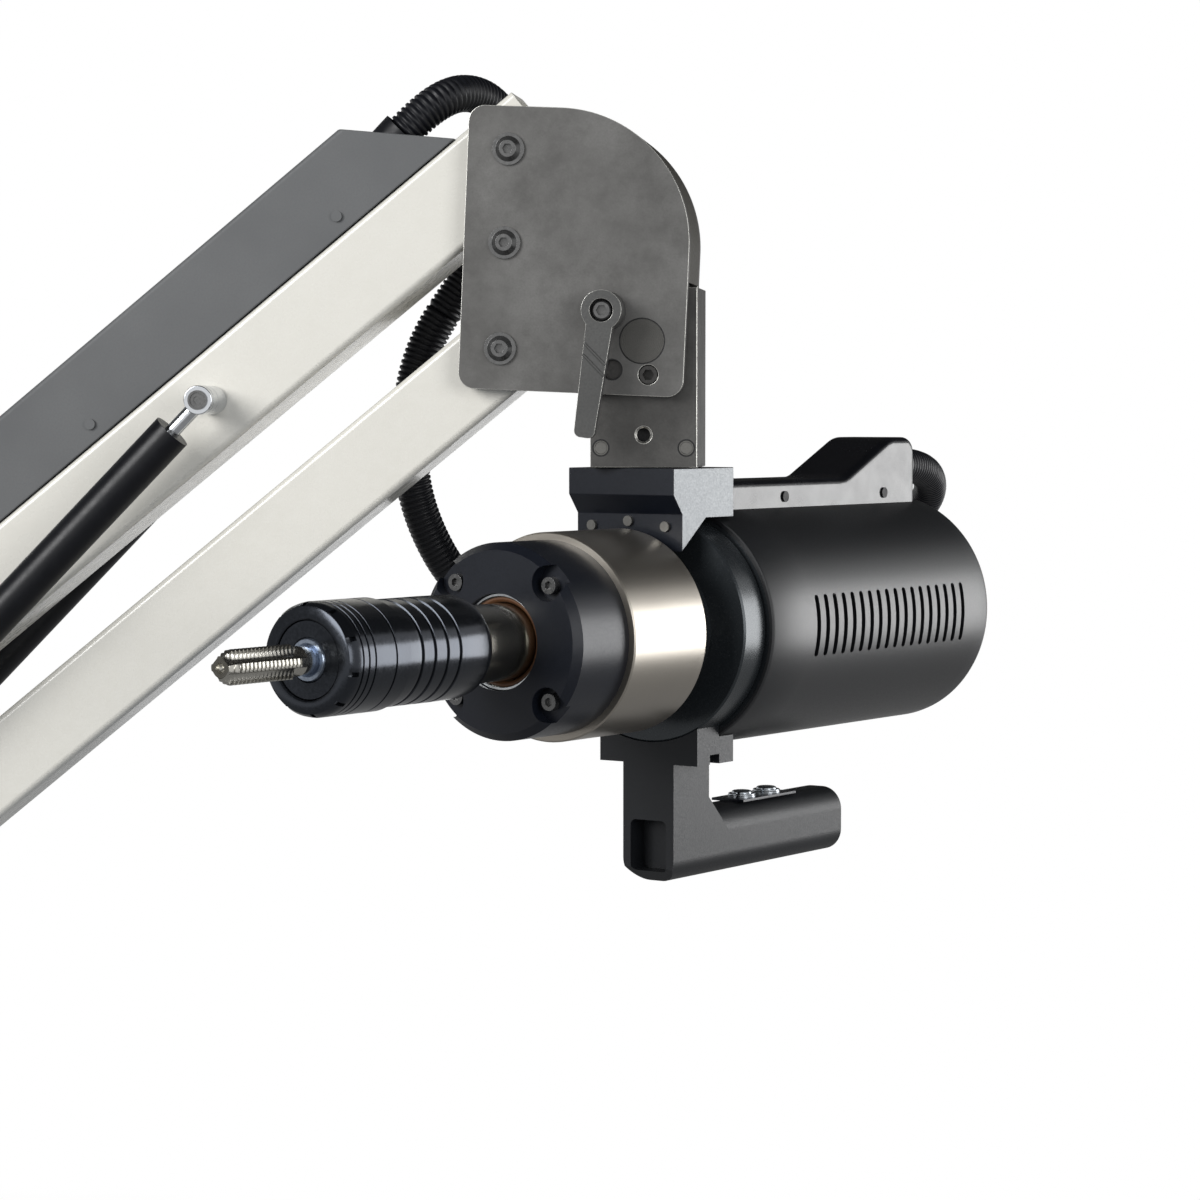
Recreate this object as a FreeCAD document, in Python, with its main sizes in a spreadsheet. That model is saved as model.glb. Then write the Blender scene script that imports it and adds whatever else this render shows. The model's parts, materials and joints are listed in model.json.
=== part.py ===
import FreeCAD, Part
import math
import os
import re
import Sketcher
from FreeCAD import Placement, Rotation, Vector

# Lengths in millimetres, angles in degrees

# Joint play and running gaps
play = 0.3
shaft_play = 0.06
face_gap = 0.4
overrun = 2

# Bench flange and post
flange_side = 160
flange_thick = 14
flange_hole_pitch = 120
flange_hole_r = 6.5
flange_corner = 16
post_r = 36
post_wall = 6
post_top = 250
post_collar_r = 46
post_collar_tall = 16

# Parallel arms and their two brackets
arm_angle = 39.2
arm_length = 560
lever_gap = 109
head_lean = 2.5
tube_upper = 50
tube_lower = 45
tube_wall = 4
tube_past = 20
pivot_r = 8
bush_r = 12
cheek_gap = 54
cheek_thick = 8
root_x = 45
root_z = 451

# Root bracket
root_left = 65
root_right = 35
root_top = 34
root_corner = 12
hub_top_gap = 34
hub_neck_r = 24
hub_neck_deep = 40
base_cap_r = 44
base_cap_tall = 12

# Head bracket, measured from the tilt pin
head_left = 100.7
head_right = 23.6
head_top = 125.1
head_bottom = 30
head_big_r = 73.5
head_small_r = 9
head_pivot_x = 78
head_pivot_z = 101.6
spacer_z = 50.5
spacer_r = 7
band_thick = 2
band_foot = 33
tilt_pin_r = 12.2
plug_r = 5.5
hole_x = 4.2
hole_z = 18.3
plug_x = 15.9
plug_z = 16.3

# Button-head screw with flange
screw_flange_r = 8.9
screw_flange_tall = 1.6
screw_head_r = 7
screw_head_tall = 4.4
screw_hex_r = 2.9
screw_hex_deep = 2.8
screw_dome_share = 0.66

# Clamp lever
lever_x = 20.4
lever_z = 15.3
lever_hub_r = 11
lever_hub_tall = 24
lever_lift = 15
clamp_head_tall = 15.84
lever_arm_long = 64
lever_arm_wide = 15
lever_tip_wide = 11
lever_arm_thick = 9
lever_screw_r = 6.4
clamp_stud_r = 4
lever_angle = 8

# Gas springs
gas_seat = 343
gas_offset = 52
gas_cylinder_r = 11
gas_rod_r = 5
gas_long = 421
gas_angle = 45.8
gas_cylinder_long = 230
gas_eye_r = 8
gas_eye_thick = 9
gas_pin_r = 4
gas_head_r = 8
gas_head_tall = 5
gas_neck = 24
gas_shank_r = 4.2

# Sheet cover over the upper tube
cover_from = 62
cover_tall = 46
cover_thick = 1.5
cover_top_to = 493
cover_to = 540
cover_screw_r = 3

# Hanger and its swivel
hanger_half = 29.5
hanger_bottom = 69.3
hanger_hole_r = 4.6
hanger_hole_z = 51.3
dowel_x = 23.6
dowel_z = 58.5
dowel_r = 4.4
dowel_long = 14
swivel_r = 12
swivel_tall = 46
heading = 62

# Tool axis and saddle
axis_drop = 159.3
saddle_half = 35
saddle_front = 27.5
saddle_back = 33.4
saddle_slope_top = 75
saddle_step = 8.5
saddle_slope_low = 64.5
saddle_low = 44
saddle_flat = 62
saddle_ramp = 24
saddle_screw_r = 2.88

# Gearbox, flange and cap, lengths from the swivel axis
cap_r = 52.4
cap_face = 142
ring_face = 96
ring_back = 27
ring_r = 56.5
drive_r = 42
drive_back = 0
turned_r = 64
turned_edge = -21
turned_neck_r = 61
turned_back = -29
turned_bevel = 1
bearing_r = 25.8
bearing_deep = 3
bearing_thick = 9
seal_r = 23.6
seal_in = 20.8
cap_screw_r = 4.5
cap_hex_r = 2.475
cap_screw_at = 43
cap_pocket_r = 9.5
cap_pocket_deep = 8

# Motor and vented cover
motor_r = 44
motor_flange_half = 43
motor_back = -246
shell_r = 68.8
shell_wall = 3
shell_front = -22.4
shell_back = -275
shell_round = 7
vent_first = -70.6
vent_pitch = 9.9
vent_wide = 4.2
vent_tall = 35
vent_count = 18

# Top shroud
shroud_half = 22
shroud_front = -36
shroud_back = -263
shroud_wall = 2.5
shroud_bottom = 60
shroud_top = 81.5
shroud_crown = 105
shroud_rise_from = -178
shroud_rise_to = -232
shroud_edge = 5
shroud_screw_z = 71.5
shroud_screw_r = 3.2
shroud_screw_a = 109
shroud_screw_b = 223.5
shroud_ease = 26

# Handle
handle_half = 32.75
handle_front = 0
handle_back = 37
handle_notch = 13
handle_notch_wide = 9.5
handle_notch_tall = 5.4
slot_corner = 3.5
handle_foot = 76
leg_half = 17
leg_back = 36.5
grip_top = 105.2
grip_low = 143
grip_end = 183
grip_round = 13
leg_slot_half = 12
leg_slot_low = 137
leg_slot_tall = 29
leg_slot_deep = 14
button_a = 98
button_b = 125
button_r = 6
button_proud = 4
button_long = 12
plate_long = 58
plate_half = 11
plate_thick = 1.5

# Spindle, chuck and tap
spindle_r = 20.5
spindle_back = 70
chuck_back = 178
chuck_back_r = 24.2
chuck_mid = 250
chuck_mid_r = 27
sleeve_r = 28.6
sleeve_face = 295
sleeve_in = 20
nose_r = 19.6
groove_deep = 1.2
groove_wide = 3
groove_first = 199
groove_pitch = 11
groove_count = 4
collet_r = 11
collet_in = 250
collet_rim = 3
tap_r = 8.7
tap_tip = 362
tap_shank_r = 7
tap_shank_to = 308
tap_shank_in = 302
tap_point = 5
flute_r = 3.4
flute_at = 8.6

# Ribbed hose
hose_r = 10.5
hose_bore = 8.5
hose_lead = 28
hose_tail = 40
hose_arc_share = 0.45
gland_r = 13
gland_long = 14
gland_angle = 7

doc = FreeCAD.newDocument("ArmTappingMachine")
sheet = doc.addObject("Spreadsheet::Sheet", "Sizes")
aliases = {}


def enter(name, size):
    """Give the sheet a row with this size, in millimetres or degrees."""
    aliases[name] = float(size)
    row = len(aliases)
    sheet.set("A%d" % row, name)
    sheet.set("B%d" % row, str(size))
    sheet.setAlias("B%d" % row, name)


for name, size in list(vars().items()):
    if isinstance(size, (int, float)):
        enter(name, size)
doc.recompute()


def v(name):
    return aliases[name]



def bound(text):
    return re.sub(r"[a-z][a-z_]*", lambda m: "Sizes." + m.group(0), str(text))


def value(text):
    return float(worked_out(text)) if isinstance(text, str) else float(text)


def worked_out(text):
    """Work out a sum or product of sheet names without running any text as code."""
    total = 0.0
    for sign, term in re.findall(r"([+-]?)\s*([a-z_0-9.]+(?:\s*[*/]\s*[a-z_0-9.]+)*)", text):
        part = 1.0
        for op, factor in re.findall(r"([*/]?)\s*([a-z_0-9.]+)", term):
            number = v(factor) if factor[0].isalpha() else float(factor)
            part = part / number if op == "/" else part * number
        total += -part if sign == "-" else part
    return total


def outline(body, name, points, plane):
    """A closed sketch of straight lines whose corners are tied to the sheet."""
    sketch = body.newObject("Sketcher::SketchObject", name)
    origin = [f for f in body.Origin.OriginFeatures if f.Role == plane][0]
    sketch.AttachmentSupport = [(origin, "")]
    sketch.MapMode = "FlatFace"
    spots = [Vector(value(a), value(b), 0) for a, b in points]
    count = len(spots)
    for i in range(count):
        sketch.addGeometry(Part.LineSegment(spots[i], spots[(i + 1) % count]), False)
    for i in range(count):
        sketch.addConstraint(Sketcher.Constraint("Coincident", i, 2, (i + 1) % count, 1))
    for i, (a, b) in enumerate(points):
        for kind, text, number in (("DistanceX", a, spots[i].x), ("DistanceY", b, spots[i].y)):
            tie = sketch.addConstraint(Sketcher.Constraint(kind, -1, 1, i, 1, number))
            if re.search("[a-z]", str(text)):
                sketch.setExpression("Constraints[%d]" % tie, bound(text))
    return sketch


def slab(label, points, thick, plane="XZ_Plane"):
    """A plate padded both ways from its middle plane."""
    body = doc.addObject("PartDesign::Body", label)
    sketch = outline(body, label + "_outline", points, plane)
    pad = body.newObject("PartDesign::Pad", label + "_pad")
    pad.Profile = sketch
    pad.Midplane = True
    pad.setExpression("Length", bound(thick))
    doc.recompute()
    return body


def turned(label, points, axis="H_Axis"):
    """A lathe part: the outline is turned once about the sketch's own axis."""
    body = doc.addObject("PartDesign::Body", label)
    sketch = outline(body, label + "_outline", points, "XZ_Plane")
    lathe = body.newObject("PartDesign::Revolution", label + "_lathe")
    lathe.Profile = sketch
    lathe.ReferenceAxis = (sketch, [axis])
    lathe.Angle = 360
    doc.recompute()
    return body


def soften(body, radius, pick):
    """Fillet the edges of the body's last feature whose middle point is picked."""
    tip = body.Tip
    names = []
    for i, edge in enumerate(tip.Shape.Edges):
        middle = edge.valueAt((edge.FirstParameter + edge.LastParameter) / 2)
        if pick(middle, edge):
            names.append("Edge%d" % (i + 1))
    fillet = body.newObject("PartDesign::Fillet", body.Name + "_fillet")
    fillet.Base = (tip, names)
    fillet.setExpression("Radius", bound(radius))
    doc.recompute()
    return body


def rod(label, radius, length, at, along):
    """A round bar that starts at a point and runs along a direction."""
    bar = doc.addObject("Part::Cylinder", label)
    bar.setExpression("Radius", bound(radius))
    bar.setExpression("Height", bound(length))
    bar.Placement = Placement(Vector(*at), Rotation(Vector(0, 0, 1), Vector(*along)))
    return bar


def block(label, long, wide, tall, at):
    """A box with its lowest corner at a point."""
    box = doc.addObject("Part::Box", label)
    box.setExpression("Length", bound(long))
    box.setExpression("Width", bound(wide))
    box.setExpression("Height", bound(tall))
    box.Placement = Placement(Vector(*at), Rotation())
    return box


def joined(label, pieces):
    one = doc.addObject("Part::MultiFuse", label)
    one.Shapes = pieces
    return one


def group(label, pieces):
    one = doc.addObject("Part::Compound", label)
    one.Links = pieces
    return one


def cut(label, base, tools):
    one = doc.addObject("Part::Cut", label)
    one.Base = base
    one.Tool = tools[0] if len(tools) == 1 else group(label + "_tools", tools)
    return one


nodes = {}


def keep(name, piece, frame=None):
    """Give a sub-part its label and set it in place."""
    piece.Label = name
    if frame is not None:
        piece.Placement = frame
    nodes[name] = piece


# Frames that the sub-parts are drawn in
angle = math.radians(arm_angle)
lean = math.radians(head_lean)
turn = math.radians(heading)
root = Vector(root_x, 0, root_z)
along = Vector(math.cos(angle), 0, math.sin(angle))
head_pivot = root + along * arm_length
tilt = head_pivot - Vector(-head_pivot_x * math.cos(lean) + head_pivot_z * math.sin(lean), 0,
                           head_pivot_x * math.sin(lean) + head_pivot_z * math.cos(lean))
up = Vector(math.sin(lean), 0, math.cos(lean))
root_low = root - up * lever_gap
head_frame = Placement(tilt, Rotation(Vector(0, 1, 0), head_lean))
root_frame = Placement(root, Rotation(Vector(0, 1, 0), head_lean))
upper_frame = Placement(root, Rotation(Vector(0, -1, 0), arm_angle))
lower_frame = Placement(root_low, Rotation(Vector(0, -1, 0), arm_angle))
hang_frame = Placement(tilt, Rotation())
tool_frame = Placement(tilt - Vector(0, 0, axis_drop), Rotation(Vector(0, 0, 1), heading - 180))
front, back = (0, -1, 0), (0, 1, 0)
half_gap = cheek_gap / 2
outer = half_gap + cheek_thick

# Bench flange and post
flange = slab("flange_plate", [("-flange_side/2", "-flange_side/2"), ("flange_side/2", "-flange_side/2"),
                               ("flange_side/2", "flange_side/2"), ("-flange_side/2", "flange_side/2")],
              "flange_thick", "XY_Plane")
soften(flange, "flange_corner", lambda m, e: abs(m.z) < play)
corner = flange_hole_pitch / 2
holes = [rod("flange_hole", "flange_hole_r", "flange_thick + overrun", (i * corner, j * corner,
         -flange_thick / 2 - overrun / 2), (0, 0, 1)) for i in (-1, 1) for j in (-1, 1)]
keep("bench_flange", cut("bench_flange", flange, holes),
     Placement(Vector(0, 0, flange_thick / 2), Rotation()))
keep("post_tube", turned("post_tube", [
    ("post_r - post_wall", "flange_thick"), ("post_collar_r", "flange_thick"),
    ("post_collar_r", "flange_thick + post_collar_tall"), ("post_r", "flange_thick + post_collar_tall*2"),
    ("post_r", "post_top - post_collar_tall"), ("post_collar_r", "post_top - post_collar_tall"),
    ("post_collar_r", "post_top"), ("hub_neck_r + shaft_play", "post_top"),
    ("hub_neck_r + shaft_play", "post_top - hub_neck_deep - overrun"),
    ("post_r - post_wall", "post_top - hub_neck_deep - overrun")], "V_Axis"))

# Swivel hub and root bracket
hub_top = root_low.z - hub_top_gap
hub_low = post_top + play
hub_pad = post_top + base_cap_tall
neck = turned("hub_neck", [("0", "post_top - hub_neck_deep"), ("hub_neck_r", "post_top - hub_neck_deep"),
                           ("hub_neck_r", "post_top + play"), ("base_cap_r", "post_top + play"),
                           ("base_cap_r", "post_top + base_cap_tall"), ("0", "post_top + base_cap_tall")],
              "V_Axis")
hub_block = doc.addObject("Part::Box", "hub_block")
hub_block.Length = root_left + root_right - root_corner
hub_block.setExpression("Width", bound("cheek_gap"))
hub_block.Height = hub_top - hub_pad + overrun
hub_block.Placement = Placement(Vector(root.x - root_left + root_corner / 2, -half_gap,
                                       hub_pad - overrun), Rotation())
keep("swivel_hub", joined("swivel_hub", [neck, hub_block]))
foot = root.z - hub_pad
enter("root_foot", foot)
doc.recompute()
for name, side in (("root_plate_front", -1), ("root_plate_rear", 1)):
    cheek = slab(name + "_sheet", [("-root_left", "-root_foot"), ("root_right", "-root_foot"),
                                   ("root_right", "root_top"), ("-root_left", "root_top")], "cheek_thick")
    soften(cheek, "root_corner", lambda m, e: abs(m.y) < play)
    bores = [rod(name + "_bore", "pivot_r", "cheek_thick + overrun*2",
                 (p.x - root.x, -cheek_thick / 2 - overrun, p.z - root.z), back)
             for p in (root, root_low)]
    keep(name, cut(name, cheek, bores),
         Placement(root + Vector(0, side * (half_gap + cheek_thick / 2), 0), Rotation()))


def screw(label, at, along):
    """Flanged button-head screw, its hex socket open outwards."""
    spot = Vector(*at)
    way = Vector(*along)
    washer = rod(label + "_washer", "screw_flange_r", "screw_flange_tall", spot, way)
    dome = doc.addObject("Part::Cone", label + "_dome")
    dome.setExpression("Radius1", bound("screw_head_r"))
    dome.setExpression("Radius2", bound("screw_head_r*screw_dome_share"))
    dome.setExpression("Height", bound("screw_head_tall - screw_flange_tall"))
    dome.Placement = Placement(spot + way * screw_flange_tall, Rotation(Vector(0, 0, 1), way))
    hexagon = doc.addObject("Part::Prism", label + "_hex")
    hexagon.Polygon = 6
    hexagon.setExpression("Circumradius", bound("screw_hex_r"))
    hexagon.setExpression("Height", bound("screw_hex_deep + overrun"))
    hexagon.Placement = Placement(spot + way * (screw_head_tall - screw_hex_deep),
                                  Rotation(Vector(0, 0, 1), way))
    return cut(label + "_screw", joined(label + "_head", [washer, dome]), [hexagon])


def both_sides(label, spots):
    return [screw("%s_%d_%d" % (label, i, side), (s.x, side * outer, s.z), (0, side, 0))
            for i, s in enumerate(spots) for side in (-1, 1)]


def pin(label, radius, at, half):
    enter(label + "_half", half)
    doc.recompute()
    return rod(label, radius, label + "_half*2", (at.x, -half, at.z), back)


keep("root_pivot_pins", group("root_pivot_pins", [pin("root_pin_upper", "pivot_r", root, outer),
                                                  pin("root_pin_lower", "pivot_r", root_low, outer)]))
hub_bolts = [Vector(root.x + x, 0, (hub_top + hub_pad) / 2) for x in (-root_left / 2, root_right / 2)]
keep("root_screws", group("root_screws", both_sides("root", [root, root_low] + hub_bolts)))

# Upper and lower arm tubes with their bushes
for name, tall, frame in (("upper_tube", "tube_upper", upper_frame),
    ("lower_tube", "tube_lower", lower_frame)):
    bar = slab(name + "_bar", [("-tube_past", "-%s/2" % tall), ("arm_length + tube_past", "-%s/2" % tall),
                               ("arm_length + tube_past", "%s/2" % tall),
                               ("-tube_past", "%s/2" % tall)], tall)
    soften(bar, "tube_wall", lambda m, e: abs(m.x - arm_length / 2) < overrun)
    long_hole = block(name + "_hole", "arm_length + tube_past*4", tall + " - tube_wall*2",
        tall + " - tube_wall*2",
                      (-tube_past * 2, -v(tall) / 2 + tube_wall, -v(tall) / 2 + tube_wall))
    seats = [rod(name + "_seat", "bush_r", tall + " + overrun*2", (x, -v(tall) / 2 - overrun, 0), back)
             for x in (0, arm_length)]
    pin_way = [rod(name + "_pinway", "gas_pin_r", tall + " + overrun*2",
                   (gas_seat, -v(tall) / 2 - overrun, 0), back)] if name == "upper_tube" else []
    keep(name, cut(name, bar, [long_hole] + seats + pin_way), frame)
    bushes = []
    for x in (0, arm_length):
        wide = cheek_gap - face_gap * 2
        solid = rod(name + "_bush", "bush_r", "cheek_gap - face_gap*2", (x, -wide / 2, 0), back)
        bore = rod(name + "_bore", "pivot_r + shaft_play", "cheek_gap + overrun", (x, -half_gap, 0), back)
        bushes.append(cut(name + "_sleeve", solid, [bore]))
    keep(name + "_bushes", group(name + "_bushes", bushes), frame)

# Sheet cover along the top of the upper tube
top = "tube_upper/2"
shell = slab("arm_cover_block", [("cover_from", top), ("cover_to", top),
    ("cover_top_to", top + " + cover_tall"),
                                 ("cover_from", top + " + cover_tall")], "tube_upper")
soften(shell, "cover_thick*2", lambda m, e: abs(m.z - tube_upper / 2 - cover_tall) < play
       and abs(m.y) > tube_upper / 3)
hollow = slab("arm_cover_hollow", [
    ("cover_from + cover_thick", "tube_upper/2 - overrun"),
    ("cover_to - cover_thick", "tube_upper/2 - overrun"),
    ("cover_top_to - cover_thick*2", "tube_upper/2 + cover_tall - cover_thick"),
    ("cover_from + cover_thick", "tube_upper/2 + cover_tall - cover_thick")],
    "tube_upper - cover_thick*2")
gland_way = Vector(math.cos(math.radians(gland_angle)), 0, math.sin(math.radians(gland_angle)))
gland_at = Vector((cover_top_to + cover_to) / 2, 0, (tube_upper + cover_tall) / 2)
gland_at = gland_at + Vector(0, 0, overrun) - gland_way * (gland_long - overrun)
gland_hole = rod("cover_gland_hole", "gland_r", "gland_long*3", gland_at - gland_way * gland_long,
    gland_way)
keep("arm_cover", cut("arm_cover", shell, [hollow, gland_hole]), upper_frame)
cover_screws = []
for x in (cover_from * 2, arm_length / 2, cover_top_to - cover_from / 2):
    for side in (-1, 1):
        cover_screws.append(rod("cover_screw", "cover_screw_r", "cover_thick", (x, side * tube_upper / 2,
                            tube_upper / 2 + cover_tall / 5), (0, side, 0)))
keep("arm_cover_screws", group("arm_cover_screws", cover_screws), upper_frame)


def ring_on(label, outer_r, inner_r, long, at, way):
    spot = Vector(*at)
    direction = Vector(*way)
    body = rod(label + "_out", outer_r, long, spot, direction)
    hole = rod(label + "_in", inner_r, long + " + overrun*2", spot - direction * overrun, direction)
    return cut(label, body, [hole])


keep("hose_gland_arm", ring_on("hose_gland_arm", "gland_r", "hose_r", "gland_long", gland_at, gland_way),
     upper_frame)

# Gas springs, one each side of the arms
seat = root + along * gas_seat
slope = math.radians(gas_angle)
down = Vector(-math.cos(slope), 0, -math.sin(slope))
anchor = seat + down * gas_long
reach = gas_offset + gas_eye_thick / 2 + gas_head_tall
spring_pin = [pin("gas_pin", "gas_pin_r", seat, reach - gas_head_tall)]
for side in (-1, 1):
    edge = tube_upper / 2
    spacer_long = gas_offset - gas_eye_thick / 2 - edge - face_gap
    enter("gas_spacer_%s" % ("near" if side < 0 else "far"), spacer_long)
    doc.recompute()
    spring_pin.append(rod("gas_spacer", "gas_head_r", "gas_spacer_%s" % ("near" if side < 0 else "far"),
                          (seat.x, side * edge, seat.z), (0, side, 0)))
    head = rod("gas_pin_head", "gas_head_r", "gas_head_tall", (seat.x, side * (reach - gas_head_tall
               + face_gap), seat.z), (0, side, 0))
    head_neck = rod("gas_head_neck", "gas_pin_r", "face_gap", (seat.x, side * (reach - gas_head_tall),
                    seat.z), (0, side, 0))
    spring_pin += [head, head_neck]
keep("spring_pin", joined("spring_pin", spring_pin))
for name, side in (("front", -1), ("rear", 1)):
    y = side * gas_offset
    middle = Vector(seat.x, y, seat.z)
    eye = rod("gas_eye", "gas_eye_r", "gas_eye_thick", middle - Vector(0, gas_eye_thick / 2, 0), back)
    shank = rod("gas_shank", "gas_shank_r", "gas_neck", middle, down)
    barrel = rod("gas_barrel", "gas_cylinder_r", "gas_cylinder_long", middle + down * gas_neck, down)
    bore = rod("gas_bore", "gas_rod_r + play", "gas_cylinder_long",
               middle + down * (gas_neck * 2), down)
    eye_hole = rod("gas_eye_hole", "gas_pin_r + shaft_play", "gas_eye_thick*2",
                   middle - Vector(0, gas_eye_thick, 0), back)
    keep("gas_cylinder_" + name, cut("gas_cylinder_" + name, joined("gas_can", [eye, shank, barrel]),
                                     [bore, eye_hole]))
    low = Vector(anchor.x, y, anchor.z)
    bar_long = gas_long - gas_cylinder_long + gas_neck
    enter("gas_bar_" + name, bar_long)
    stud_from = Vector(anchor.x, side * (outer + play), anchor.z)
    enter("gas_stud_" + name, gas_offset - outer - play)
    doc.recompute()
    bar = rod("gas_bar", "gas_rod_r", "gas_bar_" + name, low, (-down.x, 0, -down.z))
    low_eye = rod("gas_low_eye", "gas_eye_r", "gas_eye_thick", low - Vector(0, gas_eye_thick / 2, 0),
        back)
    stud = rod("gas_stud", "gas_eye_r", "gas_stud_" + name, stud_from, (0, side, 0))
    keep("gas_rod_" + name, joined("gas_rod_" + name, [bar, low_eye, stud]))

# Head bracket
for name, side in (("bracket_plate_front", -1), ("bracket_plate_rear", 1)):
    cheek = slab(name + "_sheet", [("-head_left", "-head_bottom"), ("head_right", "-head_bottom"),
                                   ("head_right", "head_top"), ("-head_left", "head_top")], "cheek_thick")
    soften(cheek, "head_big_r", lambda m, e: abs(m.y) < play and m.x > 0 and m.z > head_top / 2)
    soften(cheek, "head_small_r", lambda m, e: abs(m.y) < play and (
        m.x < -head_left + play or m.z < -head_bottom + play) and e.Length < cheek_thick
        + play and abs(abs(m.x + (head_left - head_right) / 2)
                        - (head_left + head_right) / 2) < play)
    start = -cheek_thick / 2 - overrun
    bores = [rod(name + "_bore", r, "cheek_thick + overrun*2", (x, start, z), back) for r, x, z in (
        ("pivot_r", -head_pivot_x, head_pivot_z), ("pivot_r", -head_pivot_x,
         head_pivot_z - lever_gap), ("tilt_pin_r", 0, 0))]
    if side < 0:
        bores += [rod(name + "_bore", r, "cheek_thick + overrun*2", (x, start, z), back) for r, x, z in (
            ("plug_r", hole_x, -hole_z), ("plug_r", -plug_x, -plug_z),
            ("clamp_stud_r + play", -lever_x, lever_z))]
    keep(name, cut(name, cheek, bores),
         head_frame.multiply(Placement(Vector(0, side * (half_gap + cheek_thick / 2), 0), Rotation())))
band_r = head_big_r
centre = Vector(head_right - band_r, 0, head_top - band_r)
inner = band_r - band_thick
diagonal = Vector(math.cos(math.radians(45)), 0, math.sin(math.radians(45)))
arc_out = Part.Arc(centre + Vector(0, 0, band_r),
    centre + diagonal * band_r, centre + Vector(band_r, 0, 0))
arc_in = Part.Arc(centre + Vector(inner, 0, 0), centre + diagonal * inner, centre + Vector(0, 0, inner))
foot_out = Vector(head_right, 0, band_foot)
foot_in = Vector(head_right - band_thick, 0, band_foot)
edges = [arc_out, Part.LineSegment(centre + Vector(band_r, 0, 0), foot_out),
    Part.LineSegment(foot_out, foot_in),
         Part.LineSegment(foot_in, centre + Vector(inner, 0, 0)), arc_in,
         Part.LineSegment(centre + Vector(0, 0, inner), centre + Vector(0, 0, band_r))]
band = doc.addObject("Part::Feature", "bracket_band")
band_face = Part.Face(Part.Wire([e.toShape() for e in edges]))
band.Shape = band_face.translated(Vector(0, -half_gap, 0)).extrude(Vector(0, cheek_gap, 0))
keep("bracket_band", band, head_frame)
in_head = head_frame.multVec
pivots = [in_head(Vector(-head_pivot_x, 0, z)) for z in (head_pivot_z, head_pivot_z - lever_gap)]
spacer_at = in_head(Vector(-head_pivot_x, 0, spacer_z))
keep("bracket_pivot_pins", group("bracket_pivot_pins", [pin("head_pin_upper", "pivot_r", pivots[0],
    outer),
                                                        pin("head_pin_lower", "pivot_r", pivots[1],
                                                            outer)]))
keep("bracket_spacer", pin("bracket_spacer", "spacer_r", spacer_at, half_gap))
keep("bracket_screws", group("bracket_screws", both_sides("bracket", pivots + [spacer_at])))
keep("tilt_pin", pin("tilt_pin", "tilt_pin_r", tilt, outer))
keep("index_plugs", rod("index_plugs", "plug_r", "cheek_thick - overrun",
                        in_head(Vector(-plug_x, -outer + overrun, -plug_z)), back))

# Clamp lever: its stud goes through the front plate and presses the hanger
lever_spot = in_head(Vector(-lever_x, -outer, lever_z))
lever_frame = Placement(lever_spot, Rotation(Vector(0, 1, 0), lever_angle))
blade = slab("lever_blade", [("-lever_arm_wide/2", "0"),
    ("-lever_tip_wide/2", "-lever_arm_long - lever_tip_wide/2"),
                             ("lever_tip_wide/2", "-lever_arm_long - lever_tip_wide/2"),
                             ("lever_arm_wide/2", "0")],
             "lever_arm_thick")
soften(blade, "lever_tip_wide/3", lambda m, e: abs(m.y) < play and m.z < -lever_arm_long)
blade.Placement = Placement(Vector(0, -lever_lift - lever_arm_thick / 2, 0), Rotation())
lever_hub = rod("lever_hub", "lever_hub_r", "lever_hub_tall - play", (0, -play, 0), front)
hub_bore = rod("lever_hub_bore", "lever_screw_r", "lever_hub_tall", (0, -lever_hub_tall / 4, 0), front)
keep("clamp_lever", cut("clamp_lever", joined("lever_whole", [blade, lever_hub]), [hub_bore]),
    lever_frame)
stud_long = cheek_thick + face_gap + play * 2 / 3
enter("clamp_stud_long", stud_long)
doc.recompute()
lever_screw = rod("lever_screw", "lever_screw_r", "clamp_head_tall", (0, -lever_hub_tall / 4, 0), front)
lever_hex = doc.addObject("Part::Prism", "lever_hex")
lever_hex.Polygon = 6
lever_hex.setExpression("Circumradius", bound("screw_hex_r"))
lever_hex.setExpression("Height", bound("screw_hex_deep + overrun"))
lever_hex.Placement = Placement(Vector(0, -lever_hub_tall / 4 - clamp_head_tall + screw_hex_deep, 0),
                                Rotation(Vector(0, 0, 1), Vector(*front)))
keep("clamp_screw", cut("clamp_screw", lever_screw, [lever_hex]), lever_frame)
keep("clamp_stud", rod("clamp_stud", "clamp_stud_r", "clamp_stud_long", in_head(Vector(
    -lever_x, -outer - play, lever_z)), back))

# Hanger bar between the plates
hang_half = half_gap - face_gap
enter("hanger_deep", hang_half * 2)
doc.recompute()
bar = slab("hanger_block", [("-hanger_half", "-hanger_bottom"), ("hanger_half", "-hanger_bottom"),
                            ("hanger_half", "hanger_half"),
                            ("-hanger_half", "hanger_half")], "hanger_deep")
ways = [rod("hanger_pin_way", "tilt_pin_r + shaft_play", "hanger_deep + overrun*2",
            (0, -hang_half - overrun, 0), back),
        rod("hanger_screw_way", "hanger_hole_r", "hanger_deep/4", (0, -hang_half, -hanger_hole_z), back),
        rod("hanger_swivel_way", "swivel_r + shaft_play", "swivel_tall - play",
            (0, 0, -hanger_bottom), (0, 0, 1))]
dowel_ways = [rod("hanger_dowel_way", "dowel_r", "dowel_long", (i * dowel_x, -hang_half, -dowel_z), back)
              for i in (-1, 1)]
keep("hanger_bar", cut("hanger_bar", bar, ways + dowel_ways), hang_frame)
keep("hanger_dowels", group("hanger_dowels", [rod("hanger_dowel", "dowel_r", "dowel_long",
     (i * dowel_x, -hang_half, -dowel_z), back) for i in (-1, 1)]), hang_frame)

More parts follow.
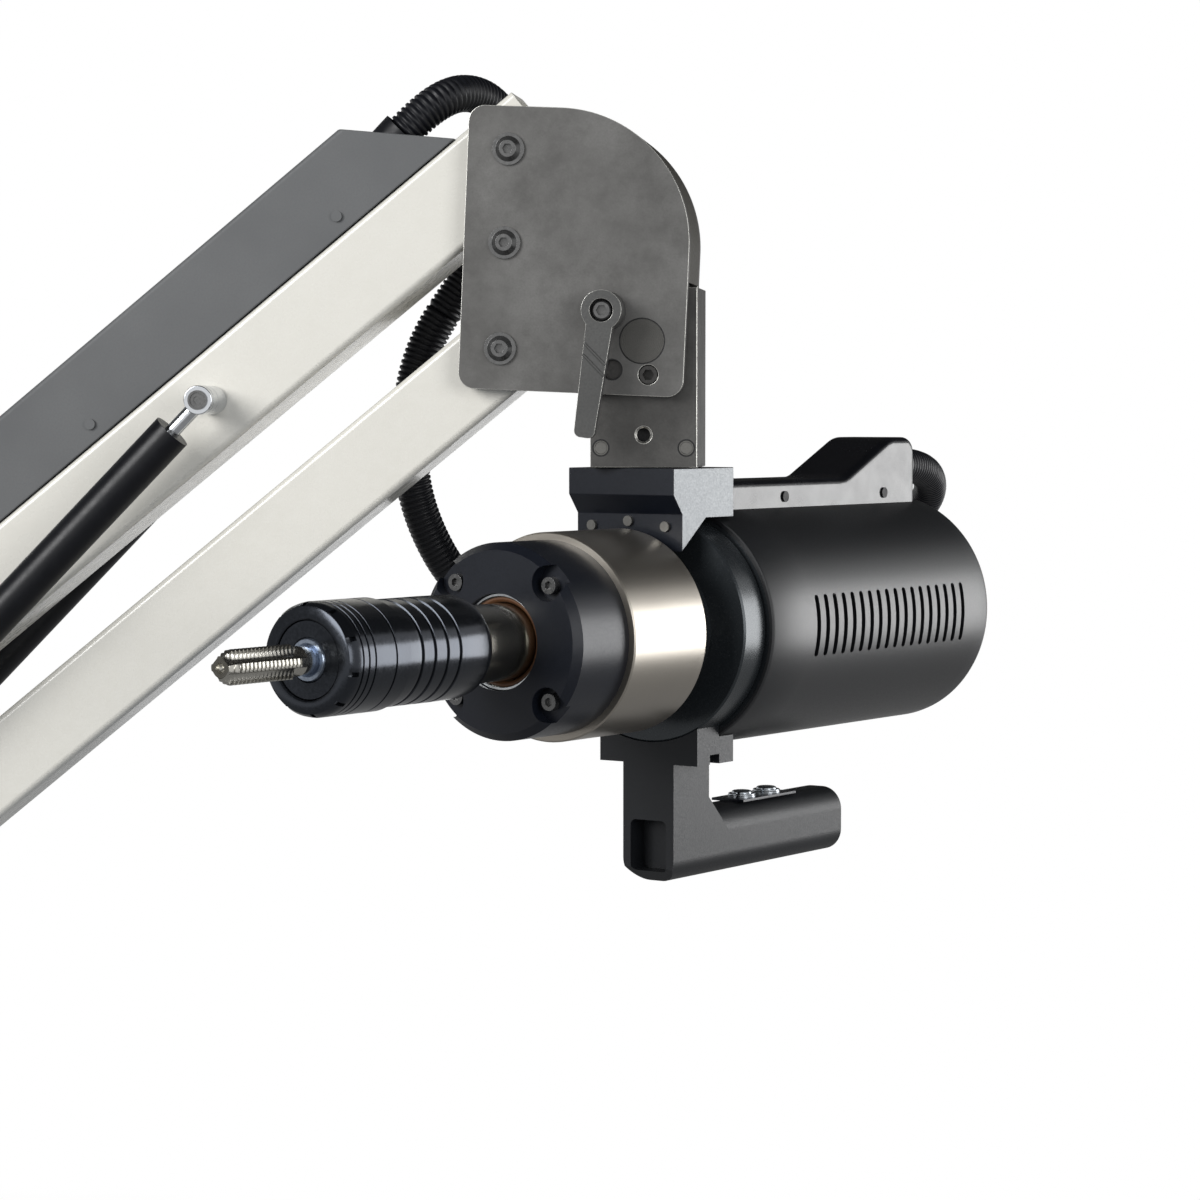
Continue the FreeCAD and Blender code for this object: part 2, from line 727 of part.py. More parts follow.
# Saddle under the hanger, in the tool's own frame: X runs forward to the tap
saddle_top = axis_drop - hanger_bottom - play
enter("saddle_top", saddle_top)
doc.recompute()
saddle = slab("saddle_block", [
    ("-saddle_back", "saddle_top"), ("-saddle_back", "saddle_flat"),
    ("saddle_front - saddle_step - saddle_ramp", "saddle_flat"),
    ("saddle_front - saddle_step", "saddle_low"), ("saddle_front - saddle_step",
     "saddle_slope_low"), ("saddle_front", "saddle_slope_top"),
     ("saddle_front", "saddle_top")], "saddle_half*2")
turned_seat = rod("saddle_turned_seat", "turned_r", "saddle_back", (drive_back, 0, 0), (-1, 0, 0))
shell_seat = rod("saddle_shell_seat", "shell_r + play", "saddle_back", (shell_front + play, 0, 0),
    (-1, 0, 0))
pin_seat = rod("saddle_pin_seat", "swivel_r", "saddle_top", (0, 0, turned_r + overrun), (0, 0, 1))
keep("saddle", cut("saddle", saddle, [turned_seat, shell_seat, pin_seat]), tool_frame)
enter("swivel_long", saddle_top - turned_r - overrun + swivel_tall - overrun)
doc.recompute()
keep("swivel_pin", rod("swivel_pin", "swivel_r", "swivel_long", (0, 0, 0), (0, 0, 1)),
     tool_frame.multiply(Placement(Vector(0, 0, turned_r + overrun), Rotation())))
small = []
for share in (-0.7, 0, 0.7):
    y = share * saddle_half
    z = (math.sqrt(ring_r ** 2 - y ** 2) + saddle_slope_low) / 2
    small.append(rod("saddle_screw", "saddle_screw_r", "overrun", (saddle_front - saddle_step, y, z),
                     (1, 0, 0)))
keep("saddle_screws", group("saddle_screws", small), tool_frame)

# Drive flange, gearbox ring, turned ring and front cap, all turned about the tool axis
keep("drive_flange", turned("drive_flange", [("drive_back", "0"), ("ring_back", "0"),
    ("ring_back", "drive_r"),
                                             ("drive_back", "drive_r")]), tool_frame)
keep("turned_ring", turned("turned_ring", [
    ("turned_back", "0"), ("drive_back", "0"), ("drive_back", "turned_r - turned_bevel"),
    ("drive_back - turned_bevel", "turned_r"), ("turned_edge + turned_bevel", "turned_r"),
    ("turned_edge", "turned_r - turned_bevel"), ("turned_edge", "turned_neck_r"),
    ("shell_front - play", "turned_neck_r"),
    ("shell_front - play", "shell_r - shell_wall - shaft_play"),
    ("turned_back", "shell_r - shell_wall - shaft_play")]),
    tool_frame)
keep("gearbox_ring", turned("gearbox_ring", [
    ("ring_back", "0"), ("spindle_back - overrun", "0"),
    ("spindle_back - overrun", "spindle_r + shaft_play"),
    ("ring_face", "spindle_r + shaft_play"), ("ring_face", "ring_r - overrun"),
    ("ring_face - overrun", "ring_r"),
    ("ring_back + overrun", "ring_r"), ("ring_back", "ring_r - overrun")]), tool_frame)
cap = turned("front_cap_blank", [
    ("ring_face", "spindle_r + play"), ("cap_face - bearing_thick - bearing_deep", "spindle_r + play"),
    ("cap_face - bearing_thick - bearing_deep", "bearing_r"), ("cap_face", "bearing_r"),
    ("cap_face", "cap_r - overrun*2"), ("cap_face - overrun*2", "cap_r"), ("ring_face", "cap_r")])
spots = [(math.cos(math.radians(a)), math.sin(math.radians(a))) for a in (45, 135, 225, 315)]
pockets = [rod("cap_pocket", "cap_pocket_r", "cap_pocket_deep*2", (cap_face - cap_pocket_deep,
           c * (cap_screw_at + overrun), d * (cap_screw_at + overrun)), (1, 0, 0))
           for c, d in spots]
keep("front_cap", cut("front_cap", cap, pockets), tool_frame)
cap_screws = []
for i, (c, d) in enumerate(spots):
    at = (cap_face - cap_pocket_deep, c * cap_screw_at, d * cap_screw_at)
    head = rod("cap_screw_head", "cap_screw_r", "cap_screw_r", at, (1, 0, 0))
    socket = doc.addObject("Part::Prism", "cap_socket")
    socket.Polygon = 6
    socket.setExpression("Circumradius", bound("cap_hex_r"))
    socket.setExpression("Height", bound("cap_screw_r"))
    socket.Placement = Placement(Vector(at[0] + cap_screw_r / 2, at[1], at[2]),
                                 Rotation(Vector(0, 0, 1), Vector(1, 0, 0)))
    cap_screws.append(cut("cap_screw_%d" % i, head, [socket]))
keep("cap_screws", group("cap_screws", cap_screws), tool_frame)
keep("bearing_ring", turned("bearing_ring", [
    ("cap_face - bearing_thick - bearing_deep", "seal_r"), ("cap_face - bearing_deep", "seal_r"),
    ("cap_face - bearing_deep", "bearing_r"),
    ("cap_face - bearing_thick - bearing_deep", "bearing_r")]), tool_frame)
keep("shaft_seal", turned("shaft_seal", [
    ("cap_face - bearing_thick - bearing_deep", "seal_in"), ("cap_face - bearing_deep*2", "seal_in"),
    ("cap_face - bearing_deep*1.5", "seal_r"), ("cap_face - bearing_thick - bearing_deep", "seal_r")]),
    tool_frame)

# Motor and its vented cover
keep("servo_motor", turned("servo_motor", [
    ("motor_back", "0"), ("turned_back", "0"), ("turned_back", "motor_flange_half + overrun*4"),
    ("turned_back - overrun*5", "motor_flange_half + overrun*4"), ("turned_back - overrun*5", "motor_r"),
    ("motor_back", "motor_r")]), tool_frame)
shell = turned("motor_cover", [
    ("shell_front", "shell_r - shell_wall"), ("shell_front", "shell_r - overrun"),
    ("shell_front - overrun", "shell_r"),
    ("shell_back + shell_round", "shell_r"), ("shell_back", "shell_r - shell_round"), ("shell_back", "0"),
    ("shell_back + shell_wall", "0"), ("shell_back + shell_wall", "shell_r - shell_round - shell_wall"),
    ("shell_back + shell_round + shell_wall", "shell_r - shell_wall")])
slot = outline(shell, "vent_outline", [
    ("vent_first - vent_wide/2", "-vent_tall/2"), ("vent_first + vent_wide/2", "-vent_tall/2"),
    ("vent_first + vent_wide/2", "vent_tall/2"), ("vent_first - vent_wide/2", "vent_tall/2")], "XZ_Plane")
before = shell.Shape.Volume
pocket = shell.newObject("PartDesign::Pocket", "vent")
pocket.Profile = slot
pocket.Midplane = True
pocket.setExpression("Length", bound("shell_r*3"))
doc.recompute()
row = shell.newObject("PartDesign::LinearPattern", "vent_row")
row.Originals = [pocket]
row.Direction = (slot, ["H_Axis"])
row.Reversed = True
row.setExpression("Length", bound("vent_pitch*vent_count - vent_pitch"))
row.setExpression("Occurrences", bound("vent_count"))
shell.Tip = row
doc.recompute()
print("vents cut", round(before - shell.Shape.Volume))
keep("motor_cover", shell, tool_frame)

# Top shroud: a moulded shell on the motor cover, higher over the plug at the back
shroud = slab("shroud_block", [
    ("shroud_front", "shroud_bottom"), ("shroud_front", "shroud_top"), ("shroud_rise_from", "shroud_top"),
    ("shroud_rise_to", "shroud_crown"), ("shroud_back", "shroud_crown"),
    ("shroud_back", "shroud_bottom")],
    "shroud_half*2")
soften(shroud, "shroud_ease", lambda m, e: abs(m.y) < play and shroud_rise_to - play < m.x
       < shroud_rise_from + play and m.z > shroud_top - play)
soften(shroud, "shroud_edge*2", lambda m, e: abs(m.y) < play and m.x < shroud_back + play
       and m.z > shroud_crown - play)
soften(shroud, "shroud_edge", lambda m, e: m.z > shroud_top - play and abs(m.y) > shroud_half - play)
room = slab("shroud_room", [
    ("shroud_front - shroud_wall", "shroud_bottom - overrun"),
    ("shroud_front - shroud_wall", "shroud_top - shroud_wall"),
    ("shroud_rise_from", "shroud_top - shroud_wall"), ("shroud_rise_to", "shroud_crown - shroud_wall"),
    ("shroud_back + shroud_wall", "shroud_crown - shroud_wall"), ("shroud_back + shroud_wall",
     "shroud_bottom - overrun")], "shroud_half*2 - shroud_wall*2")
under = rod("shroud_under", "shell_r", "shroud_front - shroud_back + overrun*6",
            (shroud_front + overrun * 3, 0, 0), (-1, 0, 0))
exit_z = shroud_crown - gland_r - shroud_wall - overrun
hose_way = rod("shroud_hose_way", "hose_r", "gland_long*2", (shroud_back + gland_long, 0, exit_z),
    (-1, 0, 0))
keep("top_shroud", cut("top_shroud", shroud, [room, under, hose_way]), tool_frame)
shroud_screws = [rod("shroud_screw", "shroud_screw_r", "overrun/2", (x, side * shroud_half,
    shroud_screw_z),
                     (0, side, 0)) for x in (-shroud_screw_a, -shroud_screw_b) for side in (-1, 1)]
keep("shroud_screws", group("shroud_screws", shroud_screws), tool_frame)
keep("hose_gland_tool", ring_on("hose_gland_tool", "gland_r", "hose_r", "gland_long",
                                (shroud_back, 0, exit_z), (-1, 0, 0)), tool_frame)

# Cast handle: a saddle block under the flange, a leg and a level grip
handle_top = slab("handle_block", [
    ("-handle_back", "-handle_foot"), ("handle_front", "-handle_foot"), ("handle_front", "-saddle_low"),
    ("-handle_back", "-saddle_low")], "handle_half*2")
stem = slab("handle_stem", [
    ("-grip_end", "-grip_low"), ("handle_front - overrun*4", "-grip_low"),
    ("handle_front", "-grip_low + overrun*4"),
    ("handle_front", "-handle_foot + overrun"), ("-leg_back", "-handle_foot + overrun"),
    ("-leg_back", "-grip_top + overrun*4"), ("-leg_back - overrun*4", "-grip_top"),
    ("-grip_end", "-grip_top")],
    "leg_half*2")
soften(stem, "grip_round", lambda m, e: m.x < -leg_back * 2 and abs(m.y) > leg_half - play
       and e.Length > grip_low - grip_top + overrun)
turned_way = rod("handle_turned_seat", "turned_r", "handle_back*3", (drive_back + overrun, 0, 0),
    (-1, 0, 0))
notch = block("handle_notch", "handle_notch_wide", "handle_half", "handle_notch_tall + overrun",
              (-handle_notch - handle_notch_wide, leg_half + overrun, -handle_foot - overrun))
shell_way = rod("handle_shell_way", "shell_r + play", "shell_r*4", (shell_front + play, 0, 0), (-1, 0, 0))
leg_slot = slab("handle_slot", [
    ("-leg_slot_half", "-leg_slot_low"), ("leg_slot_half", "-leg_slot_low"),
    ("leg_slot_half", "leg_slot_tall - leg_slot_low"),
    ("-leg_slot_half", "leg_slot_tall - leg_slot_low")],
    "leg_slot_deep*2", "YZ_Plane")
soften(leg_slot, "slot_corner", lambda m, e: abs(m.x) < play)
leg_slot.Placement = Placement(Vector(handle_front, 0, 0), Rotation())
button_ways = [rod("button_way", "button_r + shaft_play*2", "button_long*2", (-x, 0,
    -grip_top - button_long),
                   (0, 0, 1)) for x in (button_a, button_b)]
keep("handle", cut("handle", joined("handle_cast", [handle_top, stem]),
                   [turned_way, shell_way, notch, leg_slot] + button_ways), tool_frame)
plate_x = -(button_a + button_b) / 2 - plate_long / 2
plate = block("button_sheet", "plate_long", "plate_half*2", "plate_thick", (plate_x, -plate_half,
    -grip_top))
plate_ways = [rod("button_plate_way", "button_r + shaft_play*2", "plate_thick*3",
                  (-x, 0, -grip_top - plate_thick), (0, 0, 1)) for x in (button_a, button_b)]
keep("button_plate", cut("button_plate", plate, plate_ways), tool_frame)
for name, x in (("button_forward", button_a), ("button_reverse", button_b)):
    keep(name, turned(name, [
        ("0", "-button_long/2"), ("button_r", "-button_long/2"),
        ("button_r", "plate_thick + button_proud - play*2"),
        ("button_r - play*2", "plate_thick + button_proud"),
        ("0", "plate_thick + button_proud")], "V_Axis"),
        tool_frame.multiply(Placement(Vector(-x, 0, -grip_top), Rotation())))

# Spindle, chuck, tap collet and tap
keep("spindle", turned("spindle", [
    ("spindle_back", "0"), ("chuck_back", "0"), ("chuck_back", "spindle_r"),
    ("spindle_back", "spindle_r")]), tool_frame)
chuck_blank = turned("chuck_blank", [
    ("chuck_back", "0"), ("collet_in", "0"), ("collet_in", "collet_r + play"),
    ("sleeve_face - overrun", "collet_r + play"),
    ("sleeve_face - overrun", "nose_r"), ("chuck_mid", "nose_r"), ("chuck_mid", "chuck_mid_r"),
    ("chuck_back + overrun", "chuck_back_r"), ("chuck_back", "chuck_back_r - overrun")])
grooves = []
for i in range(int(groove_count)):
    x = groove_first + i * groove_pitch
    share = (x - chuck_back) / (chuck_mid - chuck_back)
    floor = chuck_back_r + share * (chuck_mid_r - chuck_back_r) - groove_deep
    enter("groove_floor_%s" % "abcdefgh"[i], floor)
    doc.recompute()
    grooves.append(ring_on("chuck_groove_%d" % i, "sleeve_r", "groove_floor_%s" % "abcdefgh"[i],
        "groove_wide",
                           (x, 0, 0), (1, 0, 0)))
keep("chuck_body", cut("chuck_body", chuck_blank, grooves), tool_frame)
keep("chuck_sleeve", turned("chuck_sleeve", [
    ("chuck_mid + overrun*4", "nose_r + play"), ("sleeve_face", "nose_r + play"),
    ("sleeve_face", "sleeve_r - overrun*1.5"),
    ("sleeve_face - overrun*1.5", "sleeve_r"), ("sleeve_face - sleeve_in", "sleeve_r"),
    ("sleeve_face - sleeve_in", "sleeve_r - overrun/2"),
    ("sleeve_face - sleeve_in - overrun", "sleeve_r - overrun/2"),
    ("sleeve_face - sleeve_in - overrun", "sleeve_r"), ("chuck_mid + overrun*4", "sleeve_r")]),
    tool_frame)
keep("tap_collet", turned("tap_collet", [
    ("collet_in + play", "0"), ("tap_shank_in", "0"), ("tap_shank_in", "tap_shank_r"),
    ("sleeve_face + collet_rim", "tap_shank_r"), ("sleeve_face + collet_rim", "collet_r - overrun/2"),
    ("sleeve_face + collet_rim - overrun/2", "collet_r"), ("collet_in + play", "collet_r")]), tool_frame)
tap = turned("tap_blank", [
    ("tap_shank_in", "0"), ("tap_tip", "0"), ("tap_tip", "tap_r - overrun*2"),
    ("tap_tip - tap_point", "tap_r"),
    ("tap_shank_to", "tap_r"), ("tap_shank_to - overrun", "tap_shank_r"),
    ("tap_shank_in", "tap_shank_r")])
flutes = [rod("tap_flute", "flute_r", "tap_tip - tap_shank_to + overrun*3", (tap_shank_to - overrun,
          c * flute_at, d * flute_at), (1, 0, 0)) for c, d in spots]
keep("tap", cut("tap", tap, flutes), tool_frame)

# Ribbed hose in three stretches, held at the arm cover and at the shroud
arm_exit = upper_frame.multVec(gland_at + gland_way * gland_long)
arm_way = upper_frame.Rotation.multVec(gland_way)
tool_exit = tool_frame.multVec(Vector(shroud_back - gland_long, 0, exit_z))
tool_way = tool_frame.Rotation.multVec(Vector(-1, 0, 0))
behind_bracket = ((-98, 40, 143), (-84, 68, 120), (-84, 71, 80), (-112, 68, 40))
beside_bracket = ((-142, 68, -4), (-149, 72, -54), (-144, 80, -100), (-122, 104, -146))
behind_motor = ((-74, 142, -176), (-22, 190, -186), (22, 240, -178), (64, 296, -158), (112, 336, -127),
    (151, 333, -97))
route = [arm_exit, arm_exit + arm_way * hose_lead] + [tilt + Vector(*p) for p in behind_bracket]
breaks = [len(route) - 1]
route += [tilt + Vector(*p) for p in beside_bracket]
breaks.append(len(route) - 1)
route += [tilt + Vector(*p) for p in behind_motor] + [tool_exit + tool_way * hose_tail, tool_exit]


def hose_path(points):
    """Straight runs joined by arcs that take the same share of the shorter run at each corner."""
    edges = []
    start = points[0]
    for i in range(1, len(points) - 1):
        before, here, after = points[i - 1], points[i], points[i + 1]
        to_back = (before - here)
        to_next = (after - here)
        short = min(to_back.Length, to_next.Length) * hose_arc_share
        a = here + to_back.normalize() * short
        b = here + to_next.normalize() * short
        half_turn = (math.pi - to_back.getAngle(to_next)) / 2
        radius = short / math.tan(half_turn)
        bisector = (to_back + to_next).normalize()
        crown = here + bisector * (radius / math.cos(half_turn) - radius)
        print("hose bend", i, "radius", round(radius))
        edges += [Part.LineSegment(start, a).toShape(), Part.Arc(a, crown, b).toShape()]
        start = b
    edges.append(Part.LineSegment(start, points[-1]).toShape())
    return Part.Wire(edges)


def tube(path, radius):
    first = path.Edges[0]
    ring = Part.Wire([Part.Circle(first.valueAt(first.FirstParameter),
        first.tangentAt(first.FirstParameter),
                                  radius).toShape()])
    return path.makePipeShell([ring], True, True)


def middle_of(i):
    return (route[i] + route[i + 1]) / 2


stretches = {
    "hose_upper": route[:breaks[0] + 1] + [middle_of(breaks[0])],
    "hose_middle": [middle_of(breaks[0])] + route[breaks[0] + 1:breaks[1] + 1] + [middle_of(breaks[1])],
    "hose_lower": [middle_of(breaks[1])] + route[breaks[1] + 1:]}
for name, points in stretches.items():
    path = hose_path(points)
    hose = doc.addObject("Part::Feature", name)
    hose.Shape = tube(path, hose_r).cut(tube(path, hose_bore))
    section = math.pi * (hose_r ** 2 - hose_bore ** 2)
    print(name, "volume share", round(hose.Shape.Volume / (section * path.Length), 3))
    keep(name, hose, Placement())

doc.recompute()
os.makedirs("parts", exist_ok=True)
broken = [o.Name for o in doc.Objects if "Invalid" in o.State or "Error" in o.State]
broken += [n for n, o in nodes.items() if o.Shape.isNull() or not o.Shape.isValid() or not o.Shape.Solids]
if broken:
    raise RuntimeError("failed pieces: " + ", ".join(broken))
for name, piece in nodes.items():
    piece.Shape.exportStep("parts/%s.step" % name)
print(len(nodes), "sub-parts,", "tilt pivot", tilt, "axis", tool_frame.Base)
print("root", root, "root_low", root_low, "head pivots", pivots, "gas seat", seat, "anchor", anchor)
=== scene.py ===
import bpy
import bmesh
import json
import math
from mathutils import Matrix, Vector

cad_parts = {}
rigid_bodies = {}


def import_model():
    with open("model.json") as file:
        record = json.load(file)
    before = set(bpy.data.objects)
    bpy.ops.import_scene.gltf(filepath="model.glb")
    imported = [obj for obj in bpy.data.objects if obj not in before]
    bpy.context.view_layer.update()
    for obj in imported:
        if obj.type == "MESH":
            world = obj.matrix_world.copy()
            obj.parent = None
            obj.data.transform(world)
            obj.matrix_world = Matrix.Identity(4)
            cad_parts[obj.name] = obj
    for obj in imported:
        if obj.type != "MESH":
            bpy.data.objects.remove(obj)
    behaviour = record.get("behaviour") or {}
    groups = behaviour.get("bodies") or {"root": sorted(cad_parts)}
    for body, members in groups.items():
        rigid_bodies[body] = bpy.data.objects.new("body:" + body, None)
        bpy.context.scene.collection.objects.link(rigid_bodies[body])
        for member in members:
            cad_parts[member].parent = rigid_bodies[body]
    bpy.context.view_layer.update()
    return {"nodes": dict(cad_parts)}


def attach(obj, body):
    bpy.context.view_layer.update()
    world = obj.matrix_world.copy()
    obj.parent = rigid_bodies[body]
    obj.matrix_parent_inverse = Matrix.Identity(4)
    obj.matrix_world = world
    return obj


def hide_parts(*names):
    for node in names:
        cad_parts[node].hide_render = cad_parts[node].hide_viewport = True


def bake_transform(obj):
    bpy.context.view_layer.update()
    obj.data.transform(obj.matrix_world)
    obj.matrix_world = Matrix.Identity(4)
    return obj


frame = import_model()
bpy.ops.object.select_all(action="DESELECT")

# Camera: a long lens a little to the right of the head and turned back towards it, so that the plates are
# seen nearly square on and the tool from its front quarter. Places are measured from the tilt pin.
tilt_pin = Vector((0.552463, 0.0, 0.700031))
camera_from_pin = Vector((0.1949, -1.8795, -0.0377))
camera_pitch = math.radians(86.79)
camera_turn = math.radians(6.74)
camera_data = bpy.data.cameras.new("photo_camera")
camera = bpy.data.objects.new("photo_camera", camera_data)
bpy.context.scene.collection.objects.link(camera)
camera_data.sensor_width = 36.0
camera_data.lens = 101.6
camera.location = tilt_pin + camera_from_pin
camera.rotation_euler = (camera_pitch, 0.0, camera_turn)
bpy.context.scene.camera = camera
bpy.context.scene.view_settings.view_transform = "Standard"


# Studio: a pale floor with no edge, a white surround, four large soft lamps, and four grey cards that only
# metal and gloss reflect, above, below, behind and on the left, so that round pieces keep dark flanks.
def linear(hex_colour):
    """sRGB hex colour to the linear values that shaders take."""
    parts = [int(hex_colour[i:i + 2], 16) / 255 for i in (1, 3, 5)]
    return [p / 12.92 if p <= 0.04045 else ((p + 0.055) / 1.055) ** 2.4 for p in parts] + [1.0]


def add(tree, kind, settings=None, links=None):
    """Add one node, set its properties and sockets, and link sockets to it."""
    node = tree.nodes.new(kind)
    for name, setting in (settings or {}).items():
        if isinstance(name, str) and hasattr(node, name):
            setattr(node, name, setting)
        else:
            node.inputs[name].default_value = setting
    for name, source in (links or {}).items():
        tree.links.new(source, node.inputs[name])
    return node


def white_share(tree, path, camera_share):
    """Share of plain white: the camera's own share, and all of it for refracted and mirrored rays."""
    share = add(tree, "ShaderNodeMath", {"operation": "MAXIMUM"},
                {0: camera_share, 1: path.outputs["Is Transmission Ray"]})
    share = add(tree, "ShaderNodeMath", {"operation": "MAXIMUM"},
                {0: share.outputs[0], 1: path.outputs["Is Glossy Ray"]})
    return share.outputs[0]


surround_level = 0.42
world = bpy.data.worlds.new("white_surround")
bpy.context.scene.world = world
world.use_nodes = True
tree = world.node_tree
tree.nodes.clear()
path = add(tree, "ShaderNodeLightPath")
seen = white_share(tree, path, path.outputs["Is Camera Ray"])
plain = add(tree, "ShaderNodeBackground", {"Color": linear("#e9eef5"), "Strength": surround_level})
white = add(tree, "ShaderNodeBackground", {"Color": linear("#ffffff"), "Strength": 1.0})
mix = add(tree, "ShaderNodeMixShader", links={0: seen, 1: plain.outputs[0], 2: white.outputs[0]})
add(tree, "ShaderNodeOutputWorld", links={"Surface": mix.outputs[0]})

# The floor's paper fades from a soft shadow at the foot, metres from the origin, to the white surround.
floor_size = 60
floor_depth = 0.0005
fade_start, fade_end = 0.2, 0.9
fade_low, fade_high = 0.8, 1.0
bpy.ops.mesh.primitive_plane_add(size=floor_size)
floor = bpy.context.object
floor.name = "studio_floor"
floor.data.transform(Matrix.Translation((0, 0, -floor_depth)))
paper = bpy.data.materials.new("floor_paper")
paper.use_nodes = True
tree = paper.node_tree
tree.nodes.clear()
path = add(tree, "ShaderNodeLightPath")
matte = add(tree, "ShaderNodeBsdfDiffuse", {"Color": linear("#666c74")})
glow = add(tree, "ShaderNodeEmission", {"Color": linear("#ffffff"), "Strength": 1.0})
place = add(tree, "ShaderNodeTexCoord")
reach = add(tree, "ShaderNodeVectorMath", {"operation": "LENGTH"}, {0: place.outputs["Object"]})
away = add(tree, "ShaderNodeMapRange",
           {"From Min": fade_start, "From Max": fade_end, "To Min": fade_low, "To Max": fade_high},
           {"Value": reach.outputs["Value"]})
faded = add(tree, "ShaderNodeMath", {"operation": "MULTIPLY"},
            {0: path.outputs["Is Camera Ray"], 1: away.outputs[0]})
seen = white_share(tree, path, faded.outputs[0])
mix = add(tree, "ShaderNodeMixShader", links={0: seen, 1: matte.outputs[0], 2: glow.outputs[0]})
add(tree, "ShaderNodeOutputMaterial", links={"Surface": mix.outputs[0]})
floor.data.materials.append(paper)

# Each card: degrees turned about an axis, centre, size and brightness. Each lamp: place, size and watts.
cards = (("card_above", 0, "X", (tilt_pin.x, 0, 3.2), 9.0, 0.03),
         ("card_below", 0, "X", (tilt_pin.x, 0, 0.001), 4.0, 0.33),
         ("card_behind", 90, "X", (tilt_pin.x, 3.6, 3.2), 5.2, 0.03),
         ("card_left", 90, "Y", (-3.6, 0, 1.6), 5.0, 0.3))
lamps = (("key", (-1.5, -2.5, 1.9), 1.7, 100), ("fill", (2.3, -2.1, 1.0), 1.4, 28),
         ("side", (2.75, 1.1, 0.6), 1.2, 31), ("top", (0.2, 1.4, 2.7), 1.4, 16))
for name, turn, axis, spot, size, level in cards:
    bpy.ops.mesh.primitive_plane_add(size=size)
    card = bpy.context.object
    card.name = name
    card.data.transform(Matrix.Translation(spot) @ Matrix.Rotation(math.radians(turn), 4, axis))
    for ray in ("camera", "diffuse", "transmission", "shadow", "volume_scatter"):
        setattr(card, "visible_" + ray, False)
    grey = bpy.data.materials.new(name + "_grey")
    grey.use_nodes = True
    grey.node_tree.nodes.clear()
    glow = add(grey.node_tree, "ShaderNodeEmission", {"Strength": level})
    add(grey.node_tree, "ShaderNodeOutputMaterial", links={"Surface": glow.outputs[0]})
    card.data.materials.append(grey)

for name, spot, size, power in lamps:
    lamp_data = bpy.data.lights.new(name, "AREA")
    lamp_data.size = size
    lamp_data.energy = power
    lamp = bpy.data.objects.new(name, lamp_data)
    lamp.location = spot
    lamp.visible_camera = False
    lamp.visible_glossy = name != "top"
    lamp.rotation_euler = (tilt_pin - Vector(spot)).to_track_quat("-Z", "Y").to_euler()
    bpy.context.scene.collection.objects.link(lamp)

# Ribbed hose: a corrugated nylon conduit about 21 mm across that carries the motor cable. It leaves the
# end of the arm's cover, arches over the bracket, hangs behind the arms and enters the shroud from behind.
# Both ends are held in glands, so its whole length is on the object.
MM = 0.001
broad_grain_mm = 60

# Nearly all of a noise lies between these values, and so does the product of two, or the cloud's noise.
grain_low, grain_high = 0.3, 0.7
product_low, product_high = 0.12, 0.42
cloud_low, cloud_high = 0.38, 0.66


def surfaced(name, colour, metallic, roughness, grain_mm, bump_mm, second=None, amount=0.25, spread=0.08,
             coat=0.0, shine=0.5, cloud=None):
    """A finish with a grain of real size: colour drift, roughness drift and bump from the same grain.
    A cloud is a stain of (colour, size in mm, strength) laid over it."""
    material = bpy.data.materials.new(name)
    material.use_nodes = True
    tree = material.node_tree
    shader = tree.nodes["Principled BSDF"]
    shader.inputs["Metallic"].default_value = metallic
    shader.inputs["Specular IOR Level"].default_value = shine
    if coat:
        shader.inputs["Coat Weight"].default_value = coat
        shader.inputs["Coat Roughness"].default_value = 0.08
    place = add(tree, "ShaderNodeTexCoord")
    fine = add(tree, "ShaderNodeTexNoise", {"Scale": 1 / (grain_mm * MM), "Detail": 4.0, "Roughness": 0.6},
               {"Vector": place.outputs["Object"]})
    broad = add(tree, "ShaderNodeTexNoise", {"Scale": 1 / (broad_grain_mm * MM), "Detail": 3.0},
                {"Vector": place.outputs["Object"]})
    both = add(tree, "ShaderNodeMath", {"operation": "MULTIPLY"},
               {0: fine.outputs["Fac"], 1: broad.outputs["Fac"]})
    drift = add(tree, "ShaderNodeMapRange",
                {"From Min": product_low, "From Max": product_high, "To Max": amount},
                {"Value": both.outputs[0]})
    tint = add(tree, "ShaderNodeMix",
               {"data_type": "RGBA", 6: linear(colour), 7: linear(second or colour)}, {0: drift.outputs[0]})
    if cloud:
        cloud_colour, cloud_mm, cloud_amount = cloud
        wide = add(tree, "ShaderNodeTexNoise",
                   {"Scale": 1 / (cloud_mm * MM), "Detail": 5.0, "Roughness": 0.65},
                   {"Vector": place.outputs["Object"]})
        veil = add(tree, "ShaderNodeMapRange",
                   {"From Min": cloud_low, "From Max": cloud_high, "To Max": cloud_amount},
                   {"Value": wide.outputs["Fac"]})
        tint = add(tree, "ShaderNodeMix", {"data_type": "RGBA", 7: linear(cloud_colour)},
                   {0: veil.outputs[0], 6: tint.outputs[2]})
    tree.links.new(tint.outputs[2], shader.inputs["Base Color"])
    gloss = add(tree, "ShaderNodeMapRange",
                {"From Min": grain_low, "From Max": grain_high,
                 "To Min": roughness - spread, "To Max": roughness + spread},
                {"Value": fine.outputs["Fac"]})
    tree.links.new(gloss.outputs[0], shader.inputs["Roughness"])
    bump = add(tree, "ShaderNodeBump", {"Strength": 0.35, "Distance": bump_mm * MM},
               {"Height": fine.outputs["Fac"]})
    tree.links.new(bump.outputs[0], shader.inputs["Normal"])
    return material


